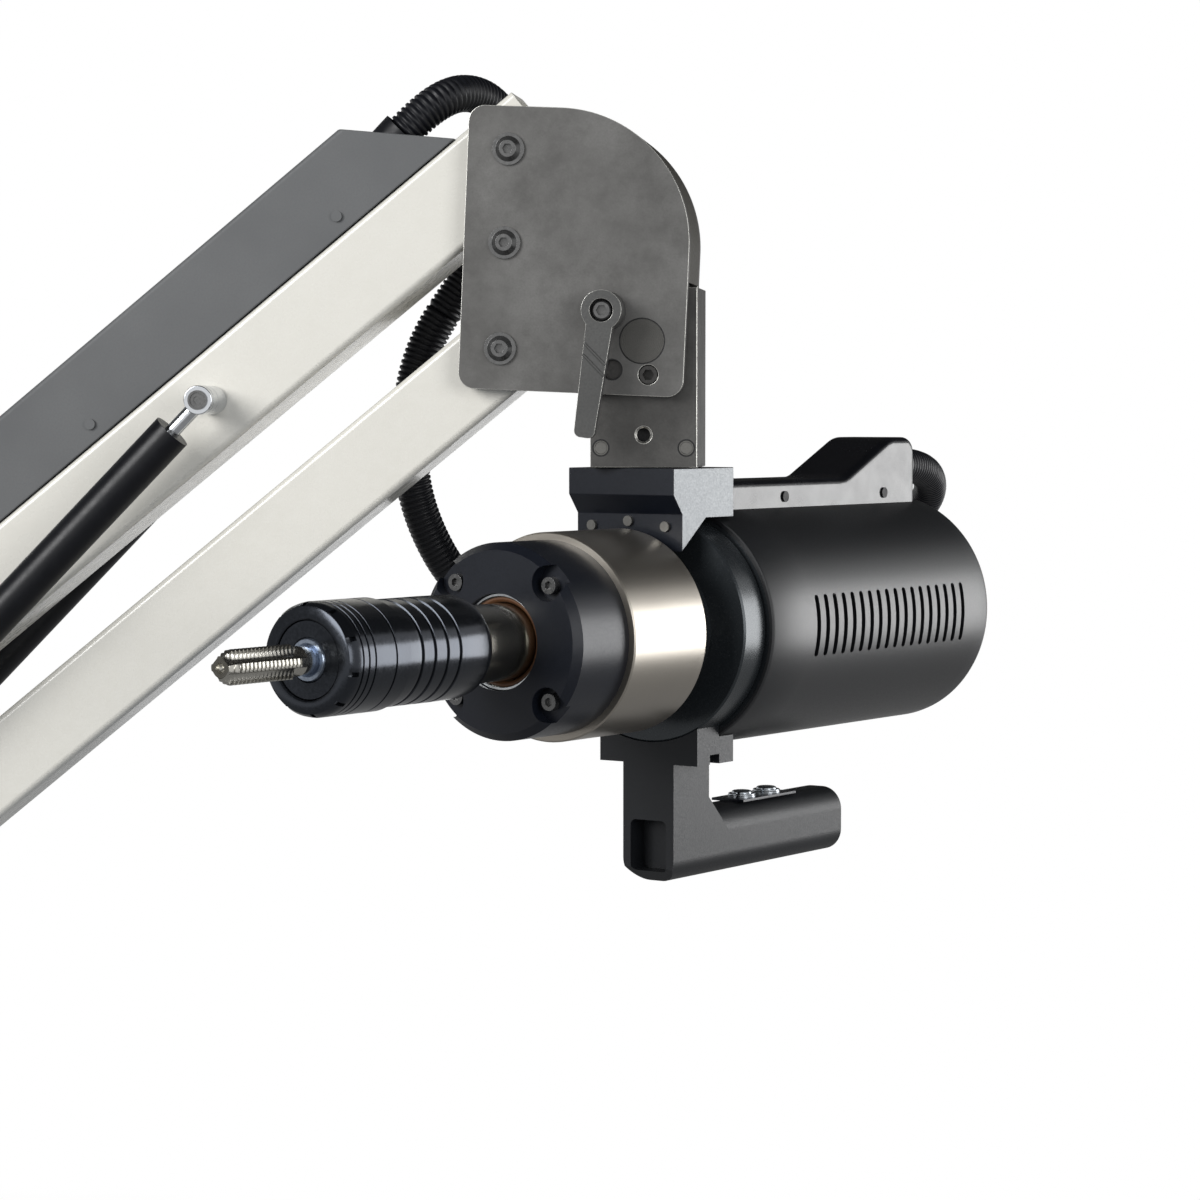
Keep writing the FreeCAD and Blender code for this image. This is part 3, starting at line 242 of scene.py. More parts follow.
def skin(name, rings):
    """Join rings of places, each with the same number, into one closed tube."""
    shape = bmesh.new()
    rings = [[shape.verts.new(place) for place in ring] for ring in rings]
    for low, high in zip(rings, rings[1:]):
        for i in range(len(low)):
            j = (i + 1) % len(low)
            shape.faces.new((low[i], low[j], high[j], high[i]))
    shape.faces.new(list(reversed(rings[0])))
    shape.faces.new(rings[-1])
    bmesh.ops.recalc_face_normals(shape, faces=shape.faces)
    mesh = bpy.data.meshes.new(name)
    shape.to_mesh(mesh)
    shape.free()
    piece = bpy.data.objects.new(name, mesh)
    bpy.context.scene.collection.objects.link(piece)
    return piece


def round_angles(count):
    """Angles that share a full turn."""
    return [2 * math.pi * i / count for i in range(count)]


conduit = surfaced("nylon_conduit_moulded", "#111216", metallic=0.0, roughness=0.42, grain_mm=6,
                   bump_mm=0.05, second="#1b1d22", shine=0.25)
hose_route = [tilt_pin + Vector(p) * MM for p in (
    (-137.42, 0, 117.61), (-118.04, 0, 137.82), (-98, 40, 143), (-84, 68, 120), (-84, 71, 80),
    (-112, 68, 40), (-142, 68, -4), (-149, 72, -54), (-144, 80, -100), (-122, 104, -146),
    (-74, 142, -176), (-22, 190, -186), (22, 240, -178), (64, 296, -158), (112, 336, -127),
    (151, 333, -97), (148.83, 279.89, -71.8), (130.05, 244.57, -71.8))]
curve_data = bpy.data.curves.new("hose_line", "CURVE")
curve_data.dimensions = "3D"
curve_data.resolution_u = 24
spline = curve_data.splines.new("NURBS")
spline.points.add(len(hose_route) - 1)
for point, place in zip(spline.points, hose_route):
    point.co = (*place, 1.0)
spline.order_u = 3
spline.use_endpoint_u = True
line_object = bpy.data.objects.new("hose_line", curve_data)
bpy.context.scene.collection.objects.link(line_object)
bpy.context.view_layer.update()
evaluated_line = line_object.evaluated_get(bpy.context.evaluated_depsgraph_get())
line_mesh = bpy.data.meshes.new_from_object(evaluated_line)
line = [v.co.copy() for v in line_mesh.vertices]
bpy.data.objects.remove(line_object)

# One rib is four rings: each is a share of the pitch and a radius in mm.
rib_pitch = 3.2 * MM
rib_steps = ((0.0, 9.2), (0.22, 9.4), (0.38, 10.5), (0.78, 10.4))
rib_sides = 24
lengths = [0.0]
for a, b in zip(line, line[1:]):
    lengths.append(lengths[-1] + (b - a).length)


def along_line(distance):
    """Place and direction on the hose's line at a distance from its start."""
    for i in range(len(lengths) - 1):
        if distance <= lengths[i + 1] or i == len(lengths) - 2:
            part = (distance - lengths[i]) / max(lengths[i + 1] - lengths[i], 1e-9)
            return line[i].lerp(line[i + 1], min(part, 1.0)), (line[i + 1] - line[i]).normalized()


def ribbed(name, start, end):
    """One stretch of corrugated tube: four rings of vertices to each rib, both ends closed."""
    steps = []
    for k in range(int((end - start) / rib_pitch)):
        steps += [(start + (k + share) * rib_pitch, radius * MM) for share, radius in rib_steps]
    steps.append((end, rib_steps[0][1] * MM))
    side = Vector((0, 1, 0))
    rings = []
    for distance, radius in steps:
        spot, way = along_line(distance)
        side = (side - way * side.dot(way)).normalized()
        other = way.cross(side)
        rings.append([spot + (side * math.cos(a) + other * math.sin(a)) * radius
                      for a in round_angles(rib_sides)])
    piece = skin(name, rings)
    piece.data.polygons.foreach_set("use_smooth", [True] * len(piece.data.polygons))
    piece.data.materials.append(conduit)
    return piece


def nearest(place):
    """Distance along the line of its point nearest to a place."""
    return lengths[min(range(len(line)), key=lambda i: (line[i] - place).length)]


first_split = (hose_route[5] + hose_route[6]) / 2
second_split = (hose_route[9] + hose_route[10]) / 2
cuts = [0.0, nearest(first_split), nearest(second_split), lengths[-1]]
for i, node in enumerate(("hose_upper", "hose_middle", "hose_lower")):
    stretch = ribbed(node + "_ribbed", cuts[i], cuts[i + 1])
    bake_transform(stretch)
    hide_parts(node)


# Machined and folded pieces: the solid comes from the frame and gets the small broken edges that a
# file, a press or paint leaves on it, because a dead sharp edge catches no light.
join_distance = 1e-6
flat_angle = math.radians(0.8)


def alone(piece):
    """Select one piece and nothing else."""
    bpy.ops.object.select_all(action="DESELECT")
    bpy.context.view_layer.objects.active = piece
    piece.select_set(True)


def merged_copy(node, name):
    """Copy a frame solid, with its split corners joined and its flat faces made whole."""
    piece = bpy.data.objects.new(name, frame["nodes"][node].data.copy())
    bpy.context.scene.collection.objects.link(piece)
    alone(piece)
    bpy.ops.object.mode_set(mode="EDIT")
    bpy.ops.mesh.select_all(action="SELECT")
    bpy.ops.mesh.remove_doubles(threshold=join_distance)
    bpy.ops.mesh.dissolve_limited(angle_limit=flat_angle)
    bpy.ops.object.mode_set(mode="OBJECT")
    return piece


def dress(piece, node, edge_mm, material, body, segments=2, sharp=32, rim=None):
    """Round the sharp edges, in the rim's material where there is one, and give finish and body."""
    piece.data.materials.clear()
    piece.data.materials.append(material)
    bevel = piece.modifiers.new("edge", "BEVEL")
    bevel.width = edge_mm * MM
    bevel.segments = segments
    bevel.limit_method = "ANGLE"
    bevel.angle_limit = math.radians(sharp)
    if rim:
        piece.data.materials.append(rim)
        bevel.material = 1
    bpy.ops.object.modifier_apply(modifier="edge")
    bpy.ops.object.shade_smooth_by_angle(angle=math.radians(sharp))
    level = piece.modifiers.new("level", "WEIGHTED_NORMAL")
    level.keep_sharp = True
    bpy.ops.object.modifier_apply(modifier="level")
    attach(piece, body)
    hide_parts(node)
    return piece


def broken_edges(node, name, edge_mm, material, body, segments=2, sharp=32, rim=None):
    """A frame solid drawn again with broken edges."""
    return dress(merged_copy(node, name), node, edge_mm, material, body, segments, sharp, rim)


def finish(node, material):
    """A frame solid that keeps its shape and takes a finish."""
    piece = frame["nodes"][node]
    piece.data.materials.clear()
    piece.data.materials.append(material)


# Bench flange, post and turret: cut steel plate and turned steel, powder coated in a fine grey structure
# that breaks every highlight into a soft sheen.
grey_coat = surfaced("powder_coat_fine_grey", "#6b6b69", metallic=0.25, roughness=0.55, grain_mm=1.1,
                     bump_mm=0.05, second="#7d7d7a", amount=0.5)
broken_edges("bench_flange", "bench_flange_plate", edge_mm=1.2, material=grey_coat, body="base")
broken_edges("post_tube", "post_turned", edge_mm=0.8, material=grey_coat, body="base")
broken_edges("swivel_hub", "swivel_hub_block", edge_mm=1.0, material=grey_coat, body="turret")
for side in ("front", "rear"):
    broken_edges("root_plate_" + side, "root_plate_%s_cut" % side, edge_mm=0.8, material=grey_coat,
                 body="turret")

# Screws, pins and bushes: phosphated steel screws with a flange under the button, dark with a dull shine,
# and ground steel pins, which are bright. The shroud's screws sit deep and are painted near black as shade.
screw_black = surfaced("steel_screw_phosphated", "#5a5a5a", metallic=0.8, roughness=0.28, grain_mm=2.0,
                       bump_mm=0.02, second="#6f6f6e", amount=0.5, spread=0.05)
bright_pin = surfaced("steel_ground_bright", "#b9b9b8", metallic=1.0, roughness=0.26, grain_mm=1.5,
                      bump_mm=0.02, second="#8d8d8c", amount=0.5)
for node, body in (("root_screws", "turret"), ("bracket_screws", "bracket")):
    broken_edges(node, node + "_button", edge_mm=0.5, material=screw_black, body=body,
                 segments=3, sharp=28)
# The shroud's screws are near black, painted shade of the deep holes they sit in.
screw_recess_shade = surfaced("screw_painted_recess_shade", "#1a1a1b", metallic=0.3, roughness=0.5, grain_mm=1.5,
                      bump_mm=0.02, shine=0.2)
finish("shroud_screws", screw_recess_shade)
for node in ("root_pivot_pins", "upper_tube_bushes", "lower_tube_bushes", "bracket_pivot_pins",
             "bracket_spacer", "clamp_stud", "swivel_pin"):
    finish(node, bright_pin)

# Arm tubes: square steel tube in thick off-white enamel, with the slight orange peel and the clear shine
# of a sprayed coat.
enamel = surfaced("enamel_sprayed_off_white", "#dbd8cf", metallic=0.0, roughness=0.28, grain_mm=7.0,
                  bump_mm=0.3, second="#d2cfc5", amount=0.6, spread=0.05, coat=0.25)
for arm in ("upper", "lower"):
    broken_edges(arm + "_tube", arm + "_tube_sprayed", edge_mm=0.7, material=enamel, body=arm + "_arm")

# Cover on the upper tube: folded sheet steel in grey structure paint, which is dull all over. Its screws
# are painted with it, and both hose glands are moulded in the hose's own nylon.
sheet_coat = surfaced("sheet_steel_structure_grey", "#545556", metallic=0.15, roughness=0.62,
                      grain_mm=1.2, bump_mm=0.08, second="#646565", amount=0.8)
broken_edges("arm_cover", "arm_cover_folded", edge_mm=1.0, material=sheet_coat, body="upper_arm",
             segments=3)
# Matt black that paints shade: thin rings in the gaps round pins and screws, and the inside of a hole.
shade_black = surfaced("painted_shade_black", "#101113", metallic=0.0, roughness=0.7, grain_mm=2.0,
                  bump_mm=0.05)
finish("arm_cover_screws", sheet_coat)
finish("hose_gland_arm", conduit)
finish("hose_gland_tool", conduit)

# Gas springs: black painted cylinders with a rolled end, chromed rods and forged, chromed end eyes that
# turn on a pin through the upper arm. A stepped cap closes each end of the pin.
spring_paint = surfaced("gas_spring_black_paint", "#0b0c10", metallic=0.0, roughness=0.34, grain_mm=5.0,
                        bump_mm=0.02, second="#111318", amount=0.4, spread=0.05, shine=0.25)
chromed = surfaced("chrome_on_forged_steel", "#c9ccd0", metallic=1.0, roughness=0.16, grain_mm=3.0,
                   bump_mm=0.01, second="#aeb2b6", amount=0.4, spread=0.04)
seat = Vector((310.806, 0, 667.786)) * MM
eye_reach = 23.6 * MM
cap_radius = 5.4 * MM
cap_tall = 1.3 * MM
cap_start = 61.9 * MM
cap_rim, cap_step = 1.2 * MM, 0.7 * MM
cap_dish, cap_dish_step = 2.0 * MM, 0.4 * MM
for side, way in (("front", -1), ("rear", 1)):
    spring = broken_edges("gas_cylinder_" + side, "gas_cylinder_%s_rolled" % side, edge_mm=0.9,
                          material=spring_paint, body="gas_body_" + side, segments=3)
    spring.data.materials.append(chromed)
    for face in spring.data.polygons:
        if (Vector((face.center.x, 0, face.center.z)) - seat).length < eye_reach:
            face.material_index = 1
    finish("gas_rod_" + side, chromed)
    bpy.ops.mesh.primitive_cylinder_add(vertices=48, radius=cap_radius, depth=cap_tall)
    cap = bpy.context.object
    cap.name = "spring_pin_cap_" + side
    bpy.ops.object.mode_set(mode="EDIT")
    bpy.ops.mesh.select_all(action="DESELECT")
    bpy.ops.object.mode_set(mode="OBJECT")
    top = max(cap.data.polygons, key=lambda face: face.center.z)
    top.select = True
    bpy.ops.object.mode_set(mode="EDIT")
    for inset, step in ((cap_rim, cap_step), (cap_dish, cap_dish_step)):
        bpy.ops.mesh.inset(thickness=inset)
        bpy.ops.mesh.extrude_region_move(TRANSFORM_OT_translate={"value": (0, 0, -step)})
    bpy.ops.object.mode_set(mode="OBJECT")
    cap.data.transform(Matrix.Translation((0, 0, cap_tall / 2)))
    cap.data.transform(Matrix.Rotation(math.radians(-90 * way), 4, "X"))
    cap.data.transform(Matrix.Translation((seat.x, way * cap_start, seat.z)))
    bpy.ops.object.shade_smooth_by_angle(angle=math.radians(30))
    cap.data.materials.append(screw_black)
    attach(cap, "upper_arm")
broken_edges("spring_pin", "spring_pin_turned", edge_mm=0.6, material=chromed, body="upper_arm",
             segments=3)


# Head bracket: two laser-cut D-shaped steel plates, matt dark grey with worn bright edges, joined by pins
# and a curved band. The pins in its face stand in thin matt black rings, painted shade in their gaps, and
# the large one keeps the rings of the turning tool.
def lathe(name, profile, material, body, nodes, steps=96, angle=30, place=None):
    """Draw an outline of (length, radius) in mm by pulling one point along, spin it, and put it in its
    place, which is the tool axis unless another is given."""
    bpy.ops.object.select_all(action="DESELECT")
    bpy.ops.mesh.primitive_plane_add(size=1)
    piece = bpy.context.object
    piece.name = name
    bpy.ops.object.mode_set(mode="EDIT")
    bpy.ops.mesh.select_mode(type="VERT")
    bpy.ops.mesh.select_all(action="SELECT")
    bpy.ops.mesh.merge(type="CENTER")
    bpy.ops.transform.translate(value=(profile[0][0] * MM, 0, profile[0][1] * MM))
    for before, after in zip(profile, profile[1:]):
        step = ((after[0] - before[0]) * MM, 0, (after[1] - before[1]) * MM)
        bpy.ops.mesh.extrude_region_move(TRANSFORM_OT_translate={"value": step})
    bpy.ops.mesh.select_all(action="SELECT")
    bpy.ops.mesh.spin(steps=steps, angle=2 * math.pi, center=(0, 0, 0), axis=(1, 0, 0))
    bpy.ops.mesh.select_all(action="SELECT")
    bpy.ops.mesh.remove_doubles(threshold=2e-6)
    bpy.ops.mesh.normals_make_consistent(inside=False)
    bpy.ops.object.mode_set(mode="OBJECT")
    piece.data.transform(place or tool_place)
    bpy.ops.object.shade_smooth_by_angle(angle=math.radians(angle))
    piece.data.materials.append(material)
    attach(piece, body)
    if nodes:
        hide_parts(*nodes)
    return piece


def ring_outline(low, high, inner, outer):
    """Closed outline of a plain ring between two lengths and two radii, in mm."""
    return [(low, inner), (high, inner), (high, outer), (low, outer), (low, inner)]


def cut_with(piece, cutter):
    """Take a cutter's shape out of a piece and throw the cutter away."""
    alone(piece)
    cut = piece.modifiers.new("cut", "BOOLEAN")
    cut.object = cutter
    bpy.ops.object.modifier_apply(modifier="cut")
    bpy.data.objects.remove(cutter)


def socket(piece, place, corner_radius, top, deep):
    """Sink a hexagon socket into the end of a turned piece, in mm."""
    bpy.ops.mesh.primitive_cylinder_add(vertices=6, radius=corner_radius * MM, depth=2 * deep * MM)
    hexagon = bpy.context.object
    lying = Matrix.Rotation(math.radians(90), 4, "Y")
    hexagon.data.transform(place @ Matrix.Translation((top * MM, 0, 0)) @ lying)
    cut_with(piece, hexagon)


def facing(x, z):
    """Frame whose X runs out of the front plate at a spot in mm from the tilt pin."""
    spot = Matrix.Translation((tilt_pin.x + x * MM, 0, tilt_pin.z + z * MM))
    return spot @ Matrix.Rotation(math.radians(-90), 4, "Z")


def turned_rings(material, centre, pitch_mm, depth_mm):
    """Rings that a turning tool leaves on a face looking along Y, as a second bump on the first."""
    tree = material.node_tree
    place = add(tree, "ShaderNodeTexCoord")
    moved = add(tree, "ShaderNodeVectorMath", {"operation": "SUBTRACT", 1: centre},
                {0: place.outputs["Object"]})
    rings = add(tree, "ShaderNodeTexWave",
                {"wave_type": "RINGS", "rings_direction": "Y", "Distortion": 0.4,
                 "Scale": 0.3 / (pitch_mm * MM)}, {"Vector": moved.outputs[0]})
    shader = tree.nodes["Principled BSDF"]
    first = shader.inputs["Normal"].links[0].from_socket
    bump = add(tree, "ShaderNodeBump", {"Strength": 0.6, "Distance": depth_mm * MM},
               {"Height": rings.outputs["Fac"], "Normal": first})
    tree.links.new(bump.outputs[0], shader.inputs["Normal"])


plate_coat = surfaced("plate_matt_dark_grey", "#5d5c5a", metallic=0.35, roughness=0.44, grain_mm=1.1,
                      bump_mm=0.05, second="#6d6c6a", amount=0.7, spread=0.06, shine=0.4,
                      cloud=("#3f3e3c", 34, 0.6))
worn = surfaced("edge_worn_bright", "#c4c3be", metallic=0.9, roughness=0.3, grain_mm=1.5, bump_mm=0.03,
                second="#6f6e6a", amount=0.7)
for side in ("front", "rear"):
    broken_edges("bracket_plate_" + side, "bracket_plate_%s_cut" % side, edge_mm=0.9, material=plate_coat,
                 body="bracket", rim=worn)
band_coat = surfaced("band_dark_burnished", "#3a3833", metallic=0.5, roughness=0.45, grain_mm=2.0,
                     bump_mm=0.04, second="#4d4a43", amount=0.5)
finish("bracket_band", band_coat)
plug_coat = surfaced("pin_face_turned_grey", "#444340", metallic=0.5, roughness=0.4, grain_mm=0.8,
                     bump_mm=0.04, second="#53524f", amount=0.6, spread=0.06)
turned_rings(plug_coat, tilt_pin, pitch_mm=0.9, depth_mm=0.04)
broken_edges("tilt_pin", "tilt_pin_turned", edge_mm=0.4, material=plug_coat, body="bracket")
plug_grey = surfaced("plug_dark_grey", "#2e2d2c", metallic=0.5, roughness=0.4, grain_mm=1.2, bump_mm=0.04,
                     second="#494846", amount=0.6)
broken_edges("index_plugs", "index_plug_grey", edge_mm=0.5, material=plug_grey, body="bracket")

# Each painted shade ring: place from the tilt pin, radius of the pin in it, distance of the face, and body,
# in mm.
plate_face = 35.0
hanger_face = 26.6
dowel_radius = 4.4
dowel_x, dowel_z = 23.6, -58.5
gap_inside, gap_outside = 0.05, 0.5
gap_sunk, gap_proud = 0.3, 0.06
painted_shade_rings = ((0, 0, 12.2, plate_face, "bracket"), (-16.6, -15.6, 5.5, plate_face, "bracket"),
             (-dowel_x, dowel_z, dowel_radius, hanger_face, "hanger"),
             (dowel_x, dowel_z, dowel_radius, hanger_face, "hanger"))
for i, (x, z, radius, face, body) in enumerate(painted_shade_rings):
    outline = ring_outline(face - gap_sunk, face + gap_proud, radius - gap_inside, radius + gap_outside)
    lathe("painted_shade_ring_%d" % (i + 1), outline, shade_black, body, [], steps=64, place=facing(x, z))

# A grub screw stands in the plate's open hole, just below its face.
grub_place = facing(3.4, -18.47)
grub_radius = 5.45
grub_end = 34.5
grub = lathe("index_grub_screw",
             [(28, 0), (28, grub_radius), (33.9, grub_radius), (grub_end, 4.9), (grub_end, 0)],
             plug_grey, "bracket", [], steps=64, place=grub_place)
socket(grub, grub_place, corner_radius=3.2, top=grub_end, deep=6)

# Clamp lever: die-cast arm in the plates' dark grey with its edges worn bright, two slanted ribs across
# it, and a sunk socket screw with a thin black ring of painted shade in the gap round its head.
lever_x, lever_z = -19.73, 16.19
lever_coat = surfaced("lever_cast_painted_grey", "#424241", metallic=0.3, roughness=0.36, grain_mm=1.2,
                      bump_mm=0.05, second="#5b5b59", amount=0.5, spread=0.06)
broken_edges("clamp_lever", "clamp_lever_cast", edge_mm=1.1, material=lever_coat, body="lever",
             segments=2, rim=worn)
lever_place = facing(lever_x, lever_z)
screw_radius = 5.6
screw_end = 56.84
clamp_screw = lathe("clamp_screw_socket",
                    [(41, 0), (41, screw_radius), (55.4, screw_radius), (56.3, 5.2), (56.8, 4.4),
                     (screw_end, 0)],
                    screw_black, "lever", ["clamp_screw"], steps=64, place=lever_place)
socket(clamp_screw, lever_place, corner_radius=3.1, top=screw_end, deep=3.4)
# A thin black ring round the screw's head is painted shade in its bore.
lathe("clamp_screw_shade_ring", ring_outline(54, 54.6, 5.5, 6.38), shade_black, "lever", [], steps=64,
      place=lever_place)


def block(name, long, wide, tall):
    """A plain block at the origin, in mm."""
    bpy.ops.mesh.primitive_cube_add(size=1)
    piece = bpy.context.object
    piece.name = name
    piece.data.transform(Matrix.Diagonal((long * MM, wide * MM, tall * MM, 1.0)))
    return piece


lever_centre = tilt_pin + Vector((lever_x, -plate_face, lever_z)) * MM
lever_lean = Matrix.Rotation(math.radians(8), 4, "Y")
rib_slant = Matrix.Rotation(math.radians(38), 4, "Y")
rib_front = -24.5 * MM
rib_drops = (24, 30)
rib_long, rib_deep, rib_wide, rib_edge = 17, 1.0, 1.3, 0.4
for i, drop in enumerate(rib_drops):
    rib = block("lever_rib_%d" % (i + 1), rib_long, rib_deep, rib_wide)
    rib.data.transform(rib_slant)
    rib.data.transform(Matrix.Translation((0, rib_front, -drop * MM)))
    rib.data.transform(Matrix.Translation(lever_centre) @ lever_lean)
    bevel = rib.modifiers.new("edge", "BEVEL")
    bevel.width = rib_edge * MM
    bevel.segments = 2
    bpy.ops.object.modifier_apply(modifier="edge")
    rib.data.materials.append(lever_coat)
    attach(rib, "lever")

# Hanger: a milled steel bar between the plates, blackened and cloudy, with a worn rim, two ground dowels
# and a threaded hole whose lip is bright and whose inside is painted matt black as shade.
hanger_coat = surfaced("hanger_blackened_steel", "#464543", metallic=0.4, roughness=0.42, grain_mm=1.2,
                       bump_mm=0.05, second="#555452", amount=0.7, spread=0.06, shine=0.4,
                       cloud=("#2c2b2a", 26, 0.6))
broken_edges("hanger_bar", "hanger_bar_milled", edge_mm=0.7, material=hanger_coat, body="hanger",
             rim=worn)
dowel_steel = surfaced("dowel_face_ground", "#62615e", metallic=0.8, roughness=0.32, grain_mm=1.2,
                       bump_mm=0.01, second="#73726f", amount=0.5, spread=0.03)
dowel_profile = [(12.6, 0), (12.6, dowel_radius), (26.2, dowel_radius), (hanger_face, 4.0),
                 (hanger_face, 3.5), (26.3, 3.2), (26.3, 0)]
for side, x, nodes in (("left", -dowel_x, ["hanger_dowels"]), ("right", dowel_x, [])):
    lathe("hanger_dowel_" + side, dowel_profile, dowel_steel, "hanger", nodes, steps=64,
          place=facing(x, dowel_z))
hole_z = -51.3
lip_start = 25.9
hole = lathe("hanger_hole_lip_and_painted_shade", [(20, 0), (20, 3.7), (26.0, 3.7), (26.62, 4.55), (20, 4.58), (19.9, 0)],
             worn, "hanger", [], steps=64, place=facing(0, hole_z))
hole.data.materials.append(shade_black)
# The front plane looks along minus Y, so a face's depth in the hole is read from there.
# Faces deeper than the lip take the matt black, painted shade down the hole.
for face in hole.data.polygons:
    if -face.center.y < lip_start * MM:
        face.material_index = 1

# Saddle: aluminium block, black anodised in front and behind with a deep satin; its two flanks are painted
# light grey, a painted reflection of a lamp at the side, so that they are the brightest flat faces of the
# head.
anodised = surfaced("aluminium_black_anodised", "#10131a", metallic=0.1, roughness=0.34, grain_mm=1.0,
                    bump_mm=0.02, second="#181c25", amount=0.6, spread=0.05, shine=0.3)
flank_painted_reflection = surfaced("saddle_flank_painted_reflection", "#8b8e90", metallic=0.3, roughness=0.5, grain_mm=1.0,
                bump_mm=0.03, second="#7c7f82", amount=0.5)
saddle = broken_edges("saddle", "saddle_milled", edge_mm=0.8, material=anodised, body="tool")
saddle.data.materials.append(flank_painted_reflection)
tool_heading = 62 - 180
axis_below_pin = 0.1593
tool_turn = Matrix.Rotation(math.radians(tool_heading), 4, "Z")
tool_place = Matrix.Translation((tilt_pin.x, 0.0, tilt_pin.z - axis_below_pin)) @ tool_turn
flank = tool_turn @ Vector((0, 1, 0))
square_on = 0.98
# Faces square to the flanks take the light grey, a painted reflection.
for face in saddle.data.polygons:
    if abs(face.normal.dot(flank)) > square_on:
        face.material_index = 1
finish("saddle_screws", dowel_steel)

# Gearbox ring: turned aluminium with a satin nickel plate, champagne in warm light, in front of a black
# turned mounting disc and neck. Lengths run from the swivel's axis towards the tap, in mm.
nickel = surfaced("nickel_plate_satin", "#97928a", metallic=0.95, roughness=0.32, grain_mm=0.9,
                  bump_mm=0.012, second="#a29c93", amount=0.5, spread=0.03)
disc_black = surfaced("aluminium_turned_black", "#2f3336", metallic=0.5, roughness=0.27, grain_mm=3.0,
                      bump_mm=0.002, second="#373b3e", amount=0.5, spread=0.01)
ring_radius, ring_front = 56.5, 96
ring_edge_radius = 55.7
output_bore = 20.6
ring_profile = [(27, 0), (27, ring_edge_radius), (27.8, ring_radius), (95.2, ring_radius),
                (ring_front, ring_edge_radius), (ring_front, output_bore), (68, output_bore), (68, 0)]
lathe("gearbox_ring_plated", ring_profile, nickel, "tool", ["gearbox_ring"], steps=128)
disc_radius, disc_lip_radius = 64, 65.7
disc_profile = [(-29, 0), (-29, disc_lip_radius), (-22.7, disc_lip_radius), (-22.7, 61), (-21, 61),
                (-21, 63.4), (-20.4, disc_radius), (-1, disc_radius), (0, 63), (0, 0)]
lathe("mounting_disc_turned", disc_profile, disc_black, "tool", ["turned_ring"],
      steps=128)
broken_edges("drive_flange", "drive_flange_turned", edge_mm=0.6, material=disc_black, body="tool")

# Front cap: black anodised cover over the output bearing, four screws sunk in scallops at its rim. The
# bearing's ground ring shines round a brown rubber shaft seal.
broken_edges("front_cap", "front_cap_anodised", edge_mm=0.8, material=anodised, body="tool",
             segments=3)
broken_edges("cap_screws", "cap_screws_socket", edge_mm=0.5, material=screw_black, body="tool",
             segments=2)
ring_chrome = surfaced("bearing_ring_ground", "#d5d8db", metallic=1.0, roughness=0.16, grain_mm=2.0,
                       bump_mm=0.01, second="#b6babd", amount=0.4, spread=0.05)
bearing_inner, bearing_outer = 23.7, 25.8
cap_seat = 130
bearing_profile = [(cap_seat, bearing_inner), (138.4, bearing_inner), (139, 24.2), (139, 25.3),
                   (138.6, bearing_outer), (cap_seat, bearing_outer), (cap_seat, bearing_inner)]
lathe("bearing_ring_ground", bearing_profile, ring_chrome, "tool", ["bearing_ring"])
seal = surfaced("seal_rubber_brown", "#5a3a22", metallic=0.0, roughness=0.5, grain_mm=1.5, bump_mm=0.05,
                second="#6d4a2e", amount=0.5)
seal_inner, seal_outer = 20.8, 23.6
seal_profile = [(cap_seat, seal_inner), (135.6, seal_inner), (136.6, 21.3), (137.4, 22.4),
                (137.5, seal_outer), (cap_seat, seal_outer), (cap_seat, seal_inner)]
lathe("shaft_seal_lipped", seal_profile, seal, "tool", ["shaft_seal"])

# Motor and its cover: a tube of painted sheet with a rolled rear edge and a row of punched slots on each
# side, through which the black motor shows as shadow. The satin paint keeps one long soft highlight.
cover_paint = surfaced("motor_cover_satin_black", "#151618", metallic=0.1, roughness=0.39, grain_mm=1.2,
                       bump_mm=0.03, second="#1d1f22", amount=0.5, spread=0.04, shine=0.6)
finish("servo_motor", anodised)
vent_first, vent_pitch, vent_count = -70.6, 9.9, 18
vent_wide, vent_reach, vent_tall, vent_round = 4.2, 150, 35, 1.9
cover_outside, cover_inside = 68.8, 65.8
roll_start, roll_radius = -268, 7
cover_steps = range(vent_count * 2 + 4)
cover_profile = [(-22.4, cover_inside), (-22.4, 67.6), (-22.9, 68.4), (-23.8, cover_outside)]
cover_profile += [(vent_first - vent_pitch * (k - 1.5) / 2, cover_outside) for k in cover_steps]
cover_profile += [(roll_start - roll_radius * math.sin(t),
                   cover_outside - roll_radius + roll_radius * math.cos(t))
                  for t in [math.radians(15 * k) for k in range(7)]]
cover_profile += [(-275, 30), (-275, 0), (-272, 0), (-272, 58.8), (-266, cover_inside)]
cover_profile += [(vent_first - vent_pitch * (k - 1.5) / 2, cover_inside) for k in reversed(cover_steps)]
cover_profile.append(cover_profile[0])
cover = lathe("motor_cover_rolled", cover_profile, cover_paint, "tool", ["motor_cover"],
              steps=160, angle=28)
bpy.ops.object.select_all(action="DESELECT")
for k in range(vent_count):
    cutter = block("vent_cutter_%d" % k, vent_wide, vent_reach, vent_tall)
    bpy.ops.object.mode_set(mode="EDIT")
    bpy.ops.mesh.select_mode(type="EDGE")
    bpy.ops.mesh.select_all(action="DESELECT")
    bpy.ops.object.mode_set(mode="OBJECT")
    corners = cutter.data.vertices
    for edge in cutter.data.edges:
        ends = [corners[i].co.y for i in edge.vertices]
        edge.select = abs(ends[0] - ends[1]) > vent_reach * MM / 2
    bpy.ops.object.mode_set(mode="EDIT")
    bpy.ops.mesh.bevel(offset=vent_round * MM, segments=4)
    bpy.ops.object.mode_set(mode="OBJECT")
    cutter.data.transform(tool_place @ Matrix.Translation(((vent_first - k * vent_pitch) * MM, 0, 0)))
cutters = [bpy.data.objects["vent_cutter_%d" % k] for k in range(vent_count)]
for cutter in cutters:
    cutter.select_set(True)
bpy.context.view_layer.objects.active = cutters[0]
bpy.ops.object.join()
